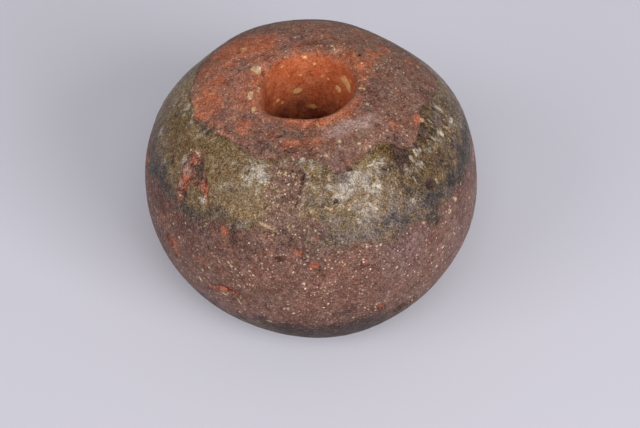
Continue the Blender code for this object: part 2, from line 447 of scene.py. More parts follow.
# %% The glaze band
UPPER_EDGE = (
    (-178, 44), (-150, 43), (-136, 43), (-117, 41), (-108, 44), (-95, 44), (-90, 43.6), (-86, 44.4),
    (-81, 45), (-77, 44), (-71, 45.2), (-65, 46.4), (-60, 47.6), (-55, 48.8), (-50, 50), (-40, 50),
    (-33, 49.6), (-27, 48.4), (-21, 50), (-14, 52), (-6, 53), (2, 52.4), (7, 50.4), (11, 48.2),
    (16, 46.4), (20, 47), (25, 49), (30, 50), (36, 51), (42, 51), (46, 49.6), (48, 46.6),
    (51, 43.4), (55, 43.2), (60, 44), (66, 45.4), (70, 45), (73, 46), (76, 47.4), (80, 47),
    (84, 45), (90, 43), (96, 40.6), (101, 37), (110, 37), (122, 41), (140, 43), (160, 42),
)
LOWER_EDGE = (
    (-175, 15), (-165, 20), (-158, 21), (-150, 15.4), (-138, 17), (-128, 21), (-120, 16),
    (-110, 16), (-100, 19), (-90, 20.4), (-84, 21), (-80, 19), (-77, 15), (-73, 17), (-70, 19.6),
    (-66, 20), (-58, 20), (-50, 20.4), (-45, 20), (-41, 21.4), (-37, 24), (-32, 25.4), (-24, 25),
    (-19, 27), (-10, 26.4), (0, 24), (8, 22.4), (14, 22), (20, 22.4), (26, 20.4), (31, 20.4),
    (36, 22.4), (41, 22), (44, 19), (49, 16.6), (52, 20.4), (60, 20.4), (66, 20.4), (72, 18.6),
    (80, 18), (88, 18), (102, 19), (112, 16), (125, 20), (133, 21.4), (142, 15), (150, 14),
    (158, 19), (168, 21), (176, 15.6),
)
WORN_PATCH = (
    (-19, 50), (-12, 50.6), (-5, 49.6), (-1.4, 47.6), (-2, 44), (-3, 40), (-4.2, 36), (-3.4, 33),
    (0, 33), (3, 32.4), (6, 31), (6.4, 28), (5, 25.4), (0, 24), (-9, 25), (-13, 27.4), (-18.6, 29),
    (-17, 33), (-18.4, 37), (-18, 42), (-19, 47),
)
VAGUE_AZIMUTH = -6
VAGUE_SPREAD = 22
VAGUE_SHARE = 0.75              # how much gentler the vague edge slopes
EDGE_WAVES = 0.3
EDGE_WAVE_SIZE = 3.0
RUGGED_AZIMUTH = 70
RUGGED_SPREAD = 27
RUGGED_FROM = 22                # the elevations between which the rugged glaze sets in
RUGGED_TO = 34

vague = bell(azimuth, VAGUE_AZIMUTH, VAGUE_SPREAD)
rugged = bell(azimuth, RUGGED_AZIMUTH, RUGGED_SPREAD)
below_upper_edge = (edge_height(UPPER_EDGE) - elevation) * DEGREE
edge_waves = (EDGE_WAVES + vague + rugged) * rough_waves(skin, EDGE_WAVE_SIZE, 47)
below_upper_edge = (below_upper_edge + edge_waves) * (1 - VAGUE_SHARE * vague)
above_lower_edge = (elevation - edge_height(LOWER_EDGE)) * DEGREE
glaze = np.minimum(below_upper_edge, above_lower_edge)
glaze = np.where(into_hole > 0, FAR_OFF, glaze)
rugged = rugged * smooth_step(elevation, RUGGED_FROM, RUGGED_TO) * out_of_hole
worn = outline_reach(WORN_PATCH)
print("share of the skin under glaze:", (glaze > 0).mean().round(2))

# %% [markdown]
# ## Soft changes of colour
#
# Iron in the clay goes orange where air reaches it and brown where it doesn't. The orange lies
# in a flaked place on the left of the top, in a ring around the hole and in a few patches, and
# between them the clay is mauve. The glaze is cloudy and pale in some places, lilac in others,
# a rich olive where it is thick, dark where it only began to melt, dark brown where it broke
# open, and gold where it wore thin. Part of the pale is painted sheen where the lights would
# shine on the glaze, and part of the dark is painted shade on the far left and a painted shadow
# line along the upper edge at the left. Fire left whole areas warmer, and whole areas are made a
# little duller or brighter; the duller ones take in painted shade on the left wall of the hole.
# All of these are soft, so they are blobs.

# %% Soft places
# Azimuth, elevation, radius in millimetres and strength, from the back left around the front
SOFT_PLACES = {
    "orange": (
        (-170, 51, 5.0, 0.35), (-141, 58, 6.0, 1.10), (-135, 66, 4.5, 0.60), (-134, 47, 5.0, 0.80),
        (-131, 54, 6.5, 1.15), (-122, 50, 6.0, 1.00), (-112, 55.4, 3.2, 0.80),
        (-106, 48, 5.0, 0.75), (-95, 53, 5.0, 0.80), (-88, 66, 5.0, 0.50), (-85, 15, 2.4, 0.80),
        (-83, 50, 5.5, 1.00), (-80, 17, 1.6, 0.70), (-76, 47, 3.0, 1.00), (-60, 12, 6.0, 0.25),
        (-53, 65.4, 3.0, 0.80), (-52.5, 4.6, 3.0, 0.95), (-49, 56, 2.4, 0.85), (-46, 60, 3.0, 0.30),
        (-45, 55, 1.8, 0.60), (-41, 64.8, 2.2, 0.60), (-38, 8, 1.6, 0.50), (-33, -3, 1.8, 0.70),
        (-31, 23, 1.8, 0.75), (-30, 60.4, 5.0, 0.34), (-26.6, 0, 2.0, 0.75), (-16, 48, 1.2, 0.40),
        (-15, 57.6, 2.2, 0.75), (-12, 65, 4.0, 0.40), (-9, 58, 2.2, 0.70), (-3.6, 21, 0.9, 1.00),
        (-2, 58.2, 2.2, 0.75), (-2, 68, 2.4, 0.60), (2, 27, 1.6, 0.80), (5, 58.4, 2.2, 0.75),
        (10, 63.6, 3.0, 0.60), (10, 66.8, 2.6, 0.90), (20, 68.6, 2.2, 0.45), (24, -7, 1.4, 0.90),
        (58, 52, 2.0, 0.45), (58, 52.6, 1.8, 0.45), (70.5, 46.6, 1.7, 1.00), (115, 46, 2.4, 0.60),
        (116, 66, 2.4, 0.60), (119, 64, 3.0, 0.80), (125, 58.6, 3.0, 0.85), (128, 53, 2.4, 0.70),
        (150, 52, 4.0, 0.40), (172, 54, 4.0, 0.35),
    ),
    "mauve": (
        (-165, 64, 6.0, 0.80), (-110, 60.5, 4.0, 0.95), (-101, 59, 2.6, 0.70), (-96, 65, 4.0, 0.55),
        (-95, 58, 3.4, 0.70), (-84, 56, 3.0, 0.60), (-74, 56, 3.0, 0.70), (-68, 12, 7.0, 0.50),
        (-66, 54, 3.6, 0.90), (-59, 59, 2.4, 0.50), (-50, 63.5, 3.4, 0.85), (-40, 20, 5.0, 0.70),
        (-39, 62, 3.4, 0.75), (-36, -16, 9.0, 0.95), (-32, 53, 3.6, 0.80), (-24, 55, 2.6, 0.60),
        (-20, 24, 3.0, 0.70), (-10, 22, 5.0, 0.50), (-8, 63, 3.0, 0.50), (-6, 26, 4.0, 0.60),
        (4, 29, 5.0, 0.80), (5, 27, 6.0, 0.90), (15, 48, 3.4, 1.00), (16, 50, 3.0, 0.90),
        (20, 52, 4.0, 0.50), (24, 51, 3.0, 0.60), (34, 14, 12.0, 0.95), (50, 48, 2.6, 0.90),
        (64, 61, 4.0, 0.60), (65, 4, 20.0, 0.85), (76, 66, 4.0, 0.70), (80, 16, 10.0, 0.90),
        (84, 59, 6.0, 0.50), (160, 60, 9.0, 0.40),
    ),
    # Milky glaze, and at the front, where the lights would shine on the glaze, painted sheen as
    # well
    "pale": (
        (-176, 27, 3.0, 0.50), (-168, 39, 4.0, 0.70), (-153, 37, 3.0, 0.60), (-140, 34, 6.0, 0.40),
        (-122, 36, 4.0, 0.60), (-92, 37, 3.0, 0.60), (-84, 28, 2.6, 0.60), (-83, 42.6, 2.4, 0.70),
        (-75, 28, 2.6, 0.45), (-73, 43.4, 2.0, 0.55), (-69, 27, 1.8, 0.60), (-64, 45, 2.2, 0.55),
        (-61, 34, 1.6, 0.75), (-43, 29, 1.0, 0.60), (-43, 42, 3.0, 0.25), (-37, 45, 3.0, 0.35),
        (-35, 38, 5.0, 0.30), (-28.6, 41, 2.2, 0.85), (-26, 44, 3.2, 0.95), (-24, 27, 2.4, 0.50),
        (-21.5, 43, 2.4, 0.95), (-8, 52, 2.0, 0.60), (-4, 51.8, 2.6, 1.00), (2, 51, 2.6, 0.85),
        (3, 45, 4.0, 0.45), (7, 51.4, 2.0, 0.65), (9, 42, 1.6, 0.70), (12.6, 38.4, 2.6, 0.85),
        (16, 40, 3.0, 0.95), (18, 30, 1.6, 0.65), (20.6, 44.4, 2.4, 0.85), (23, 33.4, 3.4, 0.75),
        (24.6, 41, 4.4, 0.85), (28.4, 38.6, 2.3, 1.30), (33, 45, 3.0, 0.85), (36, 38, 3.2, 0.25),
        (41, 29.4, 1.0, 0.90), (46, 38.4, 2.0, 0.70), (47, 26, 2.4, 0.40), (53, 37.6, 1.4, 0.70),
        (55, 41, 1.6, 0.80), (61, 38.6, 1.5, 0.80), (66, 38, 1.8, 0.50), (73, 37.4, 2.0, 1.00),
        (84.6, 33.4, 2.3, 1.15), (85, 40.4, 2.6, 0.80), (87.6, 27.4, 1.0, 1.00),
        (97, 38, 4.0, 0.30), (110, 31, 2.6, 0.60), (120, 33, 6.0, 0.40), (133, 38, 3.0, 0.60),
        (150, 37, 4.0, 0.70), (158, 31, 3.0, 0.60), (170, 36, 6.0, 0.45),
    ),
    "lilac": (
        (-175, 34, 4.0, 0.60), (-132, 28, 4.0, 0.60), (-33, 36, 4.0, 0.30), (-20.8, 45, 1.8, 0.80),
        (-2, 25, 3.0, 0.60), (2, 38, 3.0, 0.60), (4, 28, 4.0, 0.90), (6, 36, 3.0, 0.50),
        (9, 31, 3.0, 0.80), (12, 25, 4.0, 0.90), (12.6, 41.4, 2.4, 0.70), (15.6, 45, 3.4, 1.20),
        (18, 34, 2.0, 0.70), (22, 27, 5.0, 0.90), (32, 27, 5.0, 0.95), (34, 34, 4.0, 0.55),
        (34.6, 42.6, 2.2, 0.60), (37, 34, 2.4, 0.50), (40, 28, 4.0, 0.90), (47, 26, 3.4, 0.80),
        (76, 29.4, 2.4, 0.90), (78, 40, 2.6, 0.95), (96, 24, 4.0, 0.50), (118, 28, 4.0, 0.50),
        (142, 34, 4.0, 0.70),
    ),
    # Dark glaze; the broad weak blobs at the far left are painted shade, and the small ones on the
    # upper edge at the left a painted shadow line
    "dark": (
        (-160, 23, 7.0, 0.55), (-115, 20, 7.0, 0.60), (-90, 25, 8.0, 0.40), (-88, 8, 12.0, 0.34),
        (-84, 23, 3.2, 0.70), (-78, -8, 12.0, 0.34), (-77.6, 17.4, 3.0, 1.10), (-72, 22, 3.6, 0.90),
        (-71, 45.8, 1.4, 0.95), (-67, 23, 4.0, 0.95), (-66, 46.6, 1.6, 1.10),
        (-62, 22.6, 2.8, 0.75), (-61.4, 47.4, 1.4, 1.00), (-55, 21, 2.0, 0.60),
        (-48, 21.4, 2.6, 0.65), (-35, 29, 1.8, 0.50), (-34, 24, 2.2, 0.60), (-28, 22.4, 3.0, 0.85),
        (-8, 27, 5.0, 0.36), (1, 37.2, 1.5, 0.65), (4, 27, 5.0, 0.44), (5, 32.4, 2.0, 0.60),
        (7, 37.6, 2.0, 0.40), (9, 32, 3.0, 0.36), (9, 50, 2.0, 0.40), (24, 24, 3.0, 0.45),
        (30, 27, 4.2, 0.65), (34, 24, 3.2, 0.60), (41, 32.8, 1.5, 0.90), (45, 42, 3.0, 0.40),
        (46, 20.4, 2.4, 0.90), (48, 33, 4.0, 0.36), (49, 17.6, 2.2, 0.90), (50, 25, 3.6, 1.00),
        (50.6, 48, 1.8, 0.80), (55, 25, 3.6, 0.75), (60, 34, 5.0, 0.34), (62, 23.6, 3.6, 0.85),
        (63, 24, 3.4, 1.10), (66, 31, 5.0, 0.45), (66, 44, 1.6, 0.60), (69, 22.6, 3.6, 1.00),
        (73, 30.6, 2.0, 0.75), (76, 24.4, 4.2, 1.10), (78, 33, 5.0, 0.36), (84, 23.4, 4.4, 1.10),
        (92, 22, 4.0, 0.90), (95, 30, 8.0, 0.42), (112, 24, 6.0, 0.70), (140, 24, 7.0, 0.60),
    ),
    "olive": (
        (-150, 32, 9.0, 0.60), (-120, 30, 8.0, 0.60), (-80, 38, 8.0, 1.00), (-72, 33, 5.0, 0.60),
        (-66, 38, 5.0, 0.60), (-60, 43, 3.4, 0.50), (-52, 43, 4.0, 0.60), (-48, 45, 4.0, 0.80),
        (-6, 51, 2.4, 0.50), (3, 43, 2.4, 0.35), (7, 46.6, 2.6, 0.75), (35, 49, 3.4, 1.15),
        (38, 48.6, 3.0, 1.00), (42, 48, 3.2, 1.15), (45, 28, 4.0, 0.60), (46, 35, 4.0, 0.85),
        (47, 42, 3.4, 0.80), (52, 30, 4.0, 0.60), (55, 34, 5.0, 0.75), (60, 29, 5.0, 0.60),
        (62, 42, 4.4, 1.00), (64, 33, 5.0, 0.75), (72, 43, 3.6, 1.00), (79, 44, 3.4, 0.90),
        (90, 38, 6.0, 0.50), (130, 30, 9.0, 0.60), (175, 30, 8.0, 0.50),
    ),
    "umber": (
        (-160, 41, 2.2, 0.90), (-130, 38, 2.0, 0.70), (-70, 31.4, 1.4, 0.60),
        (-65.4, 30, 1.5, 0.85), (-54.4, 41, 1.2, 0.70), (-41.6, 39.4, 1.3, 0.60),
        (-16, 26.6, 2.0, 0.60), (-11, 43, 1.8, 0.60), (-8, 50.8, 1.6, 0.60), (-6.4, 24, 1.6, 0.60),
        (-5.6, 38, 1.7, 0.85), (-4, 43, 1.3, 0.90), (-3.6, 46.6, 1.4, 1.00),
        (10.8, 37.6, 1.0, 0.90), (19.5, 47.2, 1.1, 1.30), (36, 42.6, 1.7, 0.60),
        (42.4, 41, 1.8, 0.85), (45, 43.4, 3.2, 1.10), (48.4, 44.6, 2.4, 1.10),
        (51.4, 29.6, 1.5, 1.20), (54, 42.6, 1.8, 0.80), (59, 44, 1.6, 0.60), (65, 43.4, 2.0, 0.75),
        (70, 41, 1.6, 0.60), (77, 46.8, 1.7, 0.80), (81, 38, 1.4, 0.60), (128, 41, 2.4, 0.90),
        (147, 32, 2.0, 0.80),
    ),
    "gold": (
        (-26, 31, 3.0, 0.45), (-22, 33, 2.6, 0.70), (-18.4, 35.4, 2.6, 0.95), (-15, 38, 2.0, 0.65),
        (-15, 42.6, 2.6, 0.75), (-13, 46.6, 3.2, 1.00), (-8, 45.6, 2.8, 0.95), (-7, 40, 2.6, 0.55),
        (5, 8, 1.6, 0.50), (6.6, 35.8, 1.5, 0.90), (7.6, 27.2, 1.3, 0.70), (9.4, 36.2, 1.2, 0.90),
        (17, 36, 1.8, 0.90), (66, 42, 1.6, 0.60), (72, 43, 2.0, 0.70), (78.6, 35.2, 2.0, 1.00),
    ),
    "brighter": (
        (-165, 48, 6.0, 0.90), (-131, 52, 7.0, 0.60), (-110, 58.6, 3.0, 0.70), (-99, 40, 5.0, 1.20),
        (-98, 37, 5.0, 0.80), (-95, 43, 6.0, 0.90), (-80, 44, 5.0, 0.80), (-80, 55.6, 3.4, 0.80),
        (-68, 45, 4.5, 1.00), (-60, 45.5, 3.6, 1.20), (-58, 44, 4.0, 0.90), (-50, 36, 3.6, 0.90),
        (-50, 44, 4.0, 0.80), (-50, 66, 3.0, 0.60), (-36, 2, 4.0, 0.50), (-35, 69, 3.0, 0.70),
        (-27, -20, 6.0, 0.90), (-20, -20, 5.0, 1.20), (-20, 4, 6.0, 0.40), (-20, 35.6, 3.0, 0.70),
        (-18, -20, 5.0, 0.90), (-10, 3, 5.0, 0.50), (15, 35, 3.0, 0.60), (25, 48.6, 3.0, 0.40),
        (25, 69, 4.0, 1.00), (30, -20, 3.0, 0.80), (30, -18, 4.0, 0.70), (30, 8, 5.0, 0.50),
        (32, 48, 4.0, 0.90), (35, 50.4, 4.0, 0.80), (38, 5, 7.0, 0.45), (40, 60.4, 5.0, 0.60),
        (45, 0, 6.0, 0.40), (54, 9, 6.0, 0.80), (55, 60, 5.0, 0.50), (70, 35, 2.6, 0.60),
        (75, 7, 5.0, 0.40), (80, 10, 4.0, 0.80), (86, 14, 5.0, 0.60), (100, 61, 6.0, 0.50),
        (122, 57, 4.0, 0.60), (145, 63, 4.0, 0.80), (150, 50, 8.0, 1.00), (175, 50, 8.0, 1.00),
    ),
    "duller": (
        (-156, 70, 4.0, 0.70), (-140, 68, 4.0, 0.80), (-98, 55, 4.0, 0.40), (-92, 10, 9.0, 0.50),
        (-90, 22, 5.0, 0.60), (-88, 18, 6.0, 0.50), (-88, 30, 4.0, 0.30), (-85, 66, 4.0, 0.50),
        (-80, 29, 5.0, 0.40), (-76, 30, 5.0, 0.50), (-75, 21, 8.0, 0.85), (-72, 17, 4.0, 0.80),
        (-68, 8, 7.0, 0.60), (-65, 25, 3.0, 0.50), (-64, 30, 3.0, 0.40), (-62, 17, 7.0, 1.05),
        (-60, 0, 5.0, 0.50), (-60, 2, 5.0, 0.70), (-60, 54, 4.0, 0.45), (-56, 55, 4.0, 0.60),
        (-52, 58.6, 3.0, 0.60), (-48, 18, 6.0, 0.95), (-40, 40, 3.4, 0.60), (-38, 20, 5.0, 0.95),
        (-38, 55, 4.0, 0.40), (-30, 30, 3.6, 0.70), (-30, 45, 2.6, 0.45), (-28, 19, 5.0, 0.60),
        (-28, 55, 4.0, 0.80), (-25, 62, 4.0, 0.50), (-22, 55, 4.0, 0.70), (-20, 20, 4.0, 0.80),
        (-18, 60, 4.0, 0.60), (-18, 65, 3.0, 0.60), (-16, 55, 4.0, 0.80), (-8, 27, 5.0, 0.80),
        (-8, 61, 4.0, 0.80), (0, 19, 4.0, 0.40), (0, 20, 4.0, 0.70), (0, 60, 3.4, 0.70),
        (2, 26, 5.0, 0.80), (2, 62, 3.0, 0.50), (4, 55, 5.0, 0.50), (9.6, 44, 2.4, 0.50),
        (10, 20, 4.0, 0.60), (12, -24, 6.0, 0.50), (12, -6, 6.0, 0.75), (14, 30, 4.0, 0.70),
        (17, -11, 5.0, 0.65), (20, 30, 4.0, 0.60), (22, -25, 5.0, 0.60), (30, 15, 5.0, 0.50),
        (30, 20, 4.0, 0.60), (30, 41, 3.0, 0.40), (36, 41, 4.0, 0.90), (38, 31, 5.0, 0.75),
        (40, 15, 5.0, 0.50), (42, 36, 4.0, 0.80), (47, 66.4, 4.0, 0.50), (48, 28, 5.0, 1.10),
        (50, 40, 4.0, 0.70), (52, 24, 4.0, 0.90), (54, 21, 4.0, 0.50), (60, 29, 5.0, 0.45),
        (60, 65, 3.0, 0.90), (62, 24, 5.0, 0.50), (66, 20, 5.0, 0.70), (70, 18, 6.0, 0.55),
        (70, 40, 3.0, 0.90), (76, 64, 4.0, 0.65), (80, 20, 7.0, 0.55), (88, 34, 6.0, 0.45),
        (90, 45, 4.0, 0.80), (90, 65, 3.0, 0.60), (96, 26, 7.0, 0.65), (130, 68, 4.0, 0.60),
        (175, 69.6, 5.0, 1.10),
    ),
    "warm": (
        (-130, 62, 12.0, 0.80), (-100, 62, 12.0, 0.90), (-75, 62, 13.0, 1.15), (-20, 8, 14.0, 0.30),
        (180, 60, 12.0, 0.40),
    ),
}
# Painted shade on the left wall of the hole, added to the duller mask
HOLE_SHADE_AZIMUTH = -100         # the left wall of the hole
HOLE_SHADE_SPREAD = 45
HOLE_SHADE_STRENGTH = 0.6
# Painted highlight: a pale line on the ridge at the edge of the worn patch, added to the pale mask
RIDGE_HIGHLIGHT_STRENGTH = 0.75
RIDGE_HIGHLIGHT = ((1.4, (-1.2, 47), (-1.8, 44), (-2.4, 41), (-3.4, 37), (-4, 33.6)),)

soft = {name: blobs(places) for name, places in SOFT_PLACES.items()}
ridge_highlight = smooth_step(line_reach(RIDGE_HIGHLIGHT), -0.9, 0.7)
soft["pale"] = np.maximum(soft["pale"], RIDGE_HIGHLIGHT_STRENGTH * ridge_highlight)
hole_shade = bell(azimuth, HOLE_SHADE_AZIMUTH, HOLE_SHADE_SPREAD) * into_hole
soft["duller"] = np.maximum(soft["duller"], HOLE_SHADE_STRENGTH * hole_shade)
print("orange over half strength:", (soft["orange"] > 0.5).mean().round(3))

# %% [markdown]
# Soot is a dark band low on the ball. The lip of the hole has its own colours: a ring of
# orange-brown clay runs around it, stronger at the front and on the far right, and at the front
# right a strip of the lip is rubbed smoother and gets a painted grey sheen, a highlight painted
# into its colour.

# %% Soot, the ring around the hole and the rubbed strip with its painted sheen
SOOT_EDGE = (
    (-178, -26), (-90, -24), (-60, -16), (-41, -11), (-27, -9.6), (-14, -7), (-4, -7), (8, -8),
    (18, -7), (28, -8), (38, -11), (50, -14), (80, -24), (120, -30),
)
SOOT_FADE = (-4, 10)            # soot sets in above its edge, and is full below it
SOOT_STRENGTH = 0.60
SOOT_FRONT_STRENGTH = 0.50      # added at the front
SOOT_FRONT_SPREAD = 40
RING_WIDTH = 4.2
RING_LOWEST = 40                # elevation
# Azimuth and spread in degrees, and strength
RING_PARTS = (
    (-140, 32, 0.55), (-80, 34, 1.00), (-5, 26, 1.00), (42, 34, 0.92), (118, 30, 1.00),
    (165, 26, 0.30),
)
# Width and places of the rubbed strip, which is smoother and gets a painted grey sheen
RUBBED_SHEEN_STRIP = ((3.6, (17, 61.8), (26, 61.8), (36, 61), (44, 60.4), (52, 59.6)),)

below_soot_edge = (edge_height(SOOT_EDGE) - elevation) * DEGREE
soot = smooth_step(below_soot_edge, *SOOT_FADE) * out_of_hole
soot = soot * (SOOT_STRENGTH + SOOT_FRONT_STRENGTH * bell(azimuth, 0, SOOT_FRONT_SPREAD))
out_from_axis = np.hypot(skin[..., 0], skin[..., 1])
out_from_lip = out_from_axis - mouth - lip / 2
near_lip = np.exp(-(np.maximum(out_from_lip, 0) / RING_WIDTH) ** 2)
near_lip = np.where(elevation > RING_LOWEST, near_lip, 0) * out_of_hole
ring = near_lip * sum(strength * bell(azimuth, at, spread) for at, spread, strength in RING_PARTS)
soft["orange"] = np.maximum(soft["orange"], np.clip(ring, 0, 1))
rubbed_sheen = smooth_step(line_reach(RUBBED_SHEEN_STRIP), -2.4, 1.8)
print("strongest part of the ring:", ring.max().round(2))

# %% [markdown]
# ## Broken places
#
# Along the front left a two-legged gouge has gone through the glaze into red clay, and flakes
# and pits have left the rest. The plain solid has the same losses. On the fine skin each one
# is half an egg pressed into the surface, with waves that tear its edge and its floor.

# %% Scoops out of the surface
# Start and end as (azimuth, elevation), then width and depth as shares of the diameter
SCOOPS = {
    "gouge_left_leg": ((-55.0, 38.5), (-53.0, 24.5), 0.034, 0.014),
    "gouge_right_leg": ((-53.5, 38.0), (-42.5, 31.0), 0.030, 0.012),
    "gouge_heart": ((-53.0, 36.5), (-50.5, 33.5), 0.044, 0.018),
    "left_flake": ((-54.5, 5.5), (-50.5, 2.0), 0.032, 0.008),
    "lower_left_flake": ((-31.5, -1.0), (-24.0, 0.0), 0.032, 0.010),
    "front_pit": ((0.5, 16.2), (2.0, 16.0), 0.025, 0.009),
    "front_left_dent": ((-11.5, 17.8), (-9.0, 18.5), 0.026, 0.007),
    "front_right_dent": ((16.0, 13.2), (19.0, 13.8), 0.022, 0.006),
    "lower_right_pit": ((22.0, -7.8), (24.0, -7.0), 0.024, 0.013),
    "lower_right_chip": ((30.5, -15.5), (33.5, -14.5), 0.030, 0.015),
    "low_notch": ((38.0, -15.0), (40.0, -14.2), 0.022, 0.010),
    "rim_pit": ((-114.0, 69.5), (-111.0, 70.5), 0.024, 0.011),
    "top_slot": ((-25.0, 59.0), (-21.0, 60.5), 0.016, 0.010),
}
GOUGE = ("gouge_left_leg", "gouge_right_leg", "gouge_heart", "left_flake")
GOUGE_OUTLINE = (
    (-60, 39.4), (-57, 40.2), (-54, 40.4), (-51, 38.5), (-48, 36), (-45, 34), (-42.6, 32.8),
    (-42.2, 30.8), (-44, 30.6), (-47, 31.2), (-50, 31), (-50.6, 29), (-50.4, 27), (-51.4, 24.8),
    (-53, 23.4), (-55, 23.2), (-56.8, 24.8), (-57.6, 28), (-58.8, 32), (-60, 36),
)
SLOPE_STEP = 0.5                # degrees
RIM_TEAR = 0.42
FLOOR_TEAR = 0.55
BEYOND_RIM = 9


def outward(spot_azimuth, spot_elevation):
    """The way the ball faces at one place: two short steps along the surface, crossed."""
    across = (surface_point(spot_azimuth + SLOPE_STEP, spot_elevation)
              - surface_point(spot_azimuth - SLOPE_STEP, spot_elevation))
    along = (surface_point(spot_azimuth, spot_elevation + SLOPE_STEP)
             - surface_point(spot_azimuth, spot_elevation - SLOPE_STEP))
    out = np.cross(across, along)
    return out / np.linalg.norm(out)


def scoop(start, end, width_share, depth_share):
    """Depth and reach of half an egg. Its rim is where (along / half length)² and
    (across / half width)² add up to one, and its depth is the full depth times the root of
    one less that sum. Waves of two sizes tear the sum and the floor. What lies on the far side
    of the sinker is put beyond the rim."""
    width = width_share * DIAMETER
    run = surface_point(*end) - surface_point(*start)
    middle = ((start[0] + end[0]) / 2, (start[1] + end[1]) / 2)
    out = outward(*middle)
    lengthwise = run - out * (run @ out)
    lengthwise = lengthwise / np.linalg.norm(lengthwise)
    offset = skin - surface_point(*middle)
    along = offset @ lengthwise / ((np.linalg.norm(run) + width) / 2)
    across = offset @ np.cross(out, lengthwise) / (width / 2)
    far = np.abs(offset @ out) > width
    rim_share = np.hypot(along, across) * (1 + RIM_TEAR * rough_waves(skin, 2.0, 31))
    rim_share = rim_share + far * BEYOND_RIM
    bottom = 1 + FLOOR_TEAR * rough_waves(skin, 1.5, 37)
    depth = depth_share * DIAMETER * np.sqrt(np.clip(1 - rim_share ** 2, 0, 1)) * bottom
    return depth, (1 - rim_share) * width / 2


scooped = np.zeros(azimuth.shape)
broken = np.full(azimuth.shape, FAR_OFF)
gouged = np.full(azimuth.shape, FAR_OFF)
for name, measures in SCOOPS.items():
    depth, reach = scoop(*measures)
    scooped = np.maximum(scooped, depth)
    broken = np.maximum(broken, reach)
    if name in GOUGE:
        gouged = np.maximum(gouged, reach)
gouged = np.maximum(gouged, outline_reach(GOUGE_OUTLINE))
gouged = np.where(into_hole > 0, FAR_OFF, gouged)
print("deepest scoop, in mm:", scooped.max().round(2))

# %% [markdown]
# ## Marks with a place of their own
#
# Lines are cracks and crevices, ridges and drips of cream and ochre ash, and the bright edges
# of the gouge. Spots are stones in the clay, which stand a little proud, dark glassy islands in
# the gouge, and pits where a stone fell out.

# %% Cracks, crevices and drips
# Width in millimetres, and then places as (azimuth, elevation)
CRACKS = (
    (0.5, (-81, 49.5), (-79, 48.6), (-74, 47.6)), (0.6, (-68, 9.5), (-66.5, 8), (-66, 6.5)),
    (0.7, (-60, 37), (-58.6, 33)), (0.6, (-57, 30), (-57, 26)),
    (0.8, (-56, 34.6), (-54.6, 32), (-53, 31)), (0.5, (-56, 51), (-53, 52), (-50, 53)),
    (0.6, (-51, 43.5), (-54, 41), (-55, 39)), (0.8, (-50.6, 31), (-52, 33.4)),
    (0.6, (-46, 33.8), (-48.5, 37), (-51, 39)),
    (0.5, (-44.2, 39), (-43.6, 40.2), (-42.2, 40), (-42, 38.8)),
    (0.7, (-36.5, 15.5), (-35.5, 14), (-36, 12.5)), (0.8, (-34.5, -1), (-33.5, -3), (-31.5, -5)),
    (0.5, (-23, 2), (-24, 0)), (0.5, (-18, 28.2), (-14, 27), (-11, 26)),
    (0.8, (-13, 44), (-10, 43.6)), (0.8, (-9, 41), (-7, 39)), (0.8, (-9, 48), (-6, 46.6)),
    (0.7, (-9, 51), (-7, 50.8)), (1.1, (-5, 48), (-3, 47.2)), (0.8, (-4.6, 39), (-5.6, 36.4)),
    (0.9, (-3.6, 43), (-4.4, 40.4)), (1.2, (-3, 47.2), (-3.4, 44)),
    (0.5, (1, 36.4), (4, 36.4), (7, 36)), (0.5, (3, 16.5), (4, 14.5)),
    (0.5, (20, 57.5), (18.5, 56.5), (17, 56)), (1.2, (35, 50.4), (33.6, 48.6)),
    (0.6, (36, 45), (34, 42.6)), (0.8, (38, 49), (41, 49.6)), (0.7, (42.6, 38.6), (40.4, 35.6)),
    (1.4, (44, 42), (42.6, 38.6)), (2.1, (45.4, 45), (44.6, 42)), (1.6, (47, 48), (45.6, 46)),
    (0.5, (47, 51), (52, 50.4), (56, 49.6)), (1.2, (49, 43), (48, 40)),
    (1.9, (51.6, 44.4), (50.2, 42.6)), (1.4, (57, 43), (59, 41)), (0.4, (62, 52), (66, 51)),
    (1.0, (63, 44), (64, 42), (66, 40)), (1.2, (70, 45), (70, 42.4)), (1.2, (76, 46), (77, 44)),
    (0.8, (81, 39), (80.6, 36)), (0.6, (86, 43), (86.6, 41)),
)
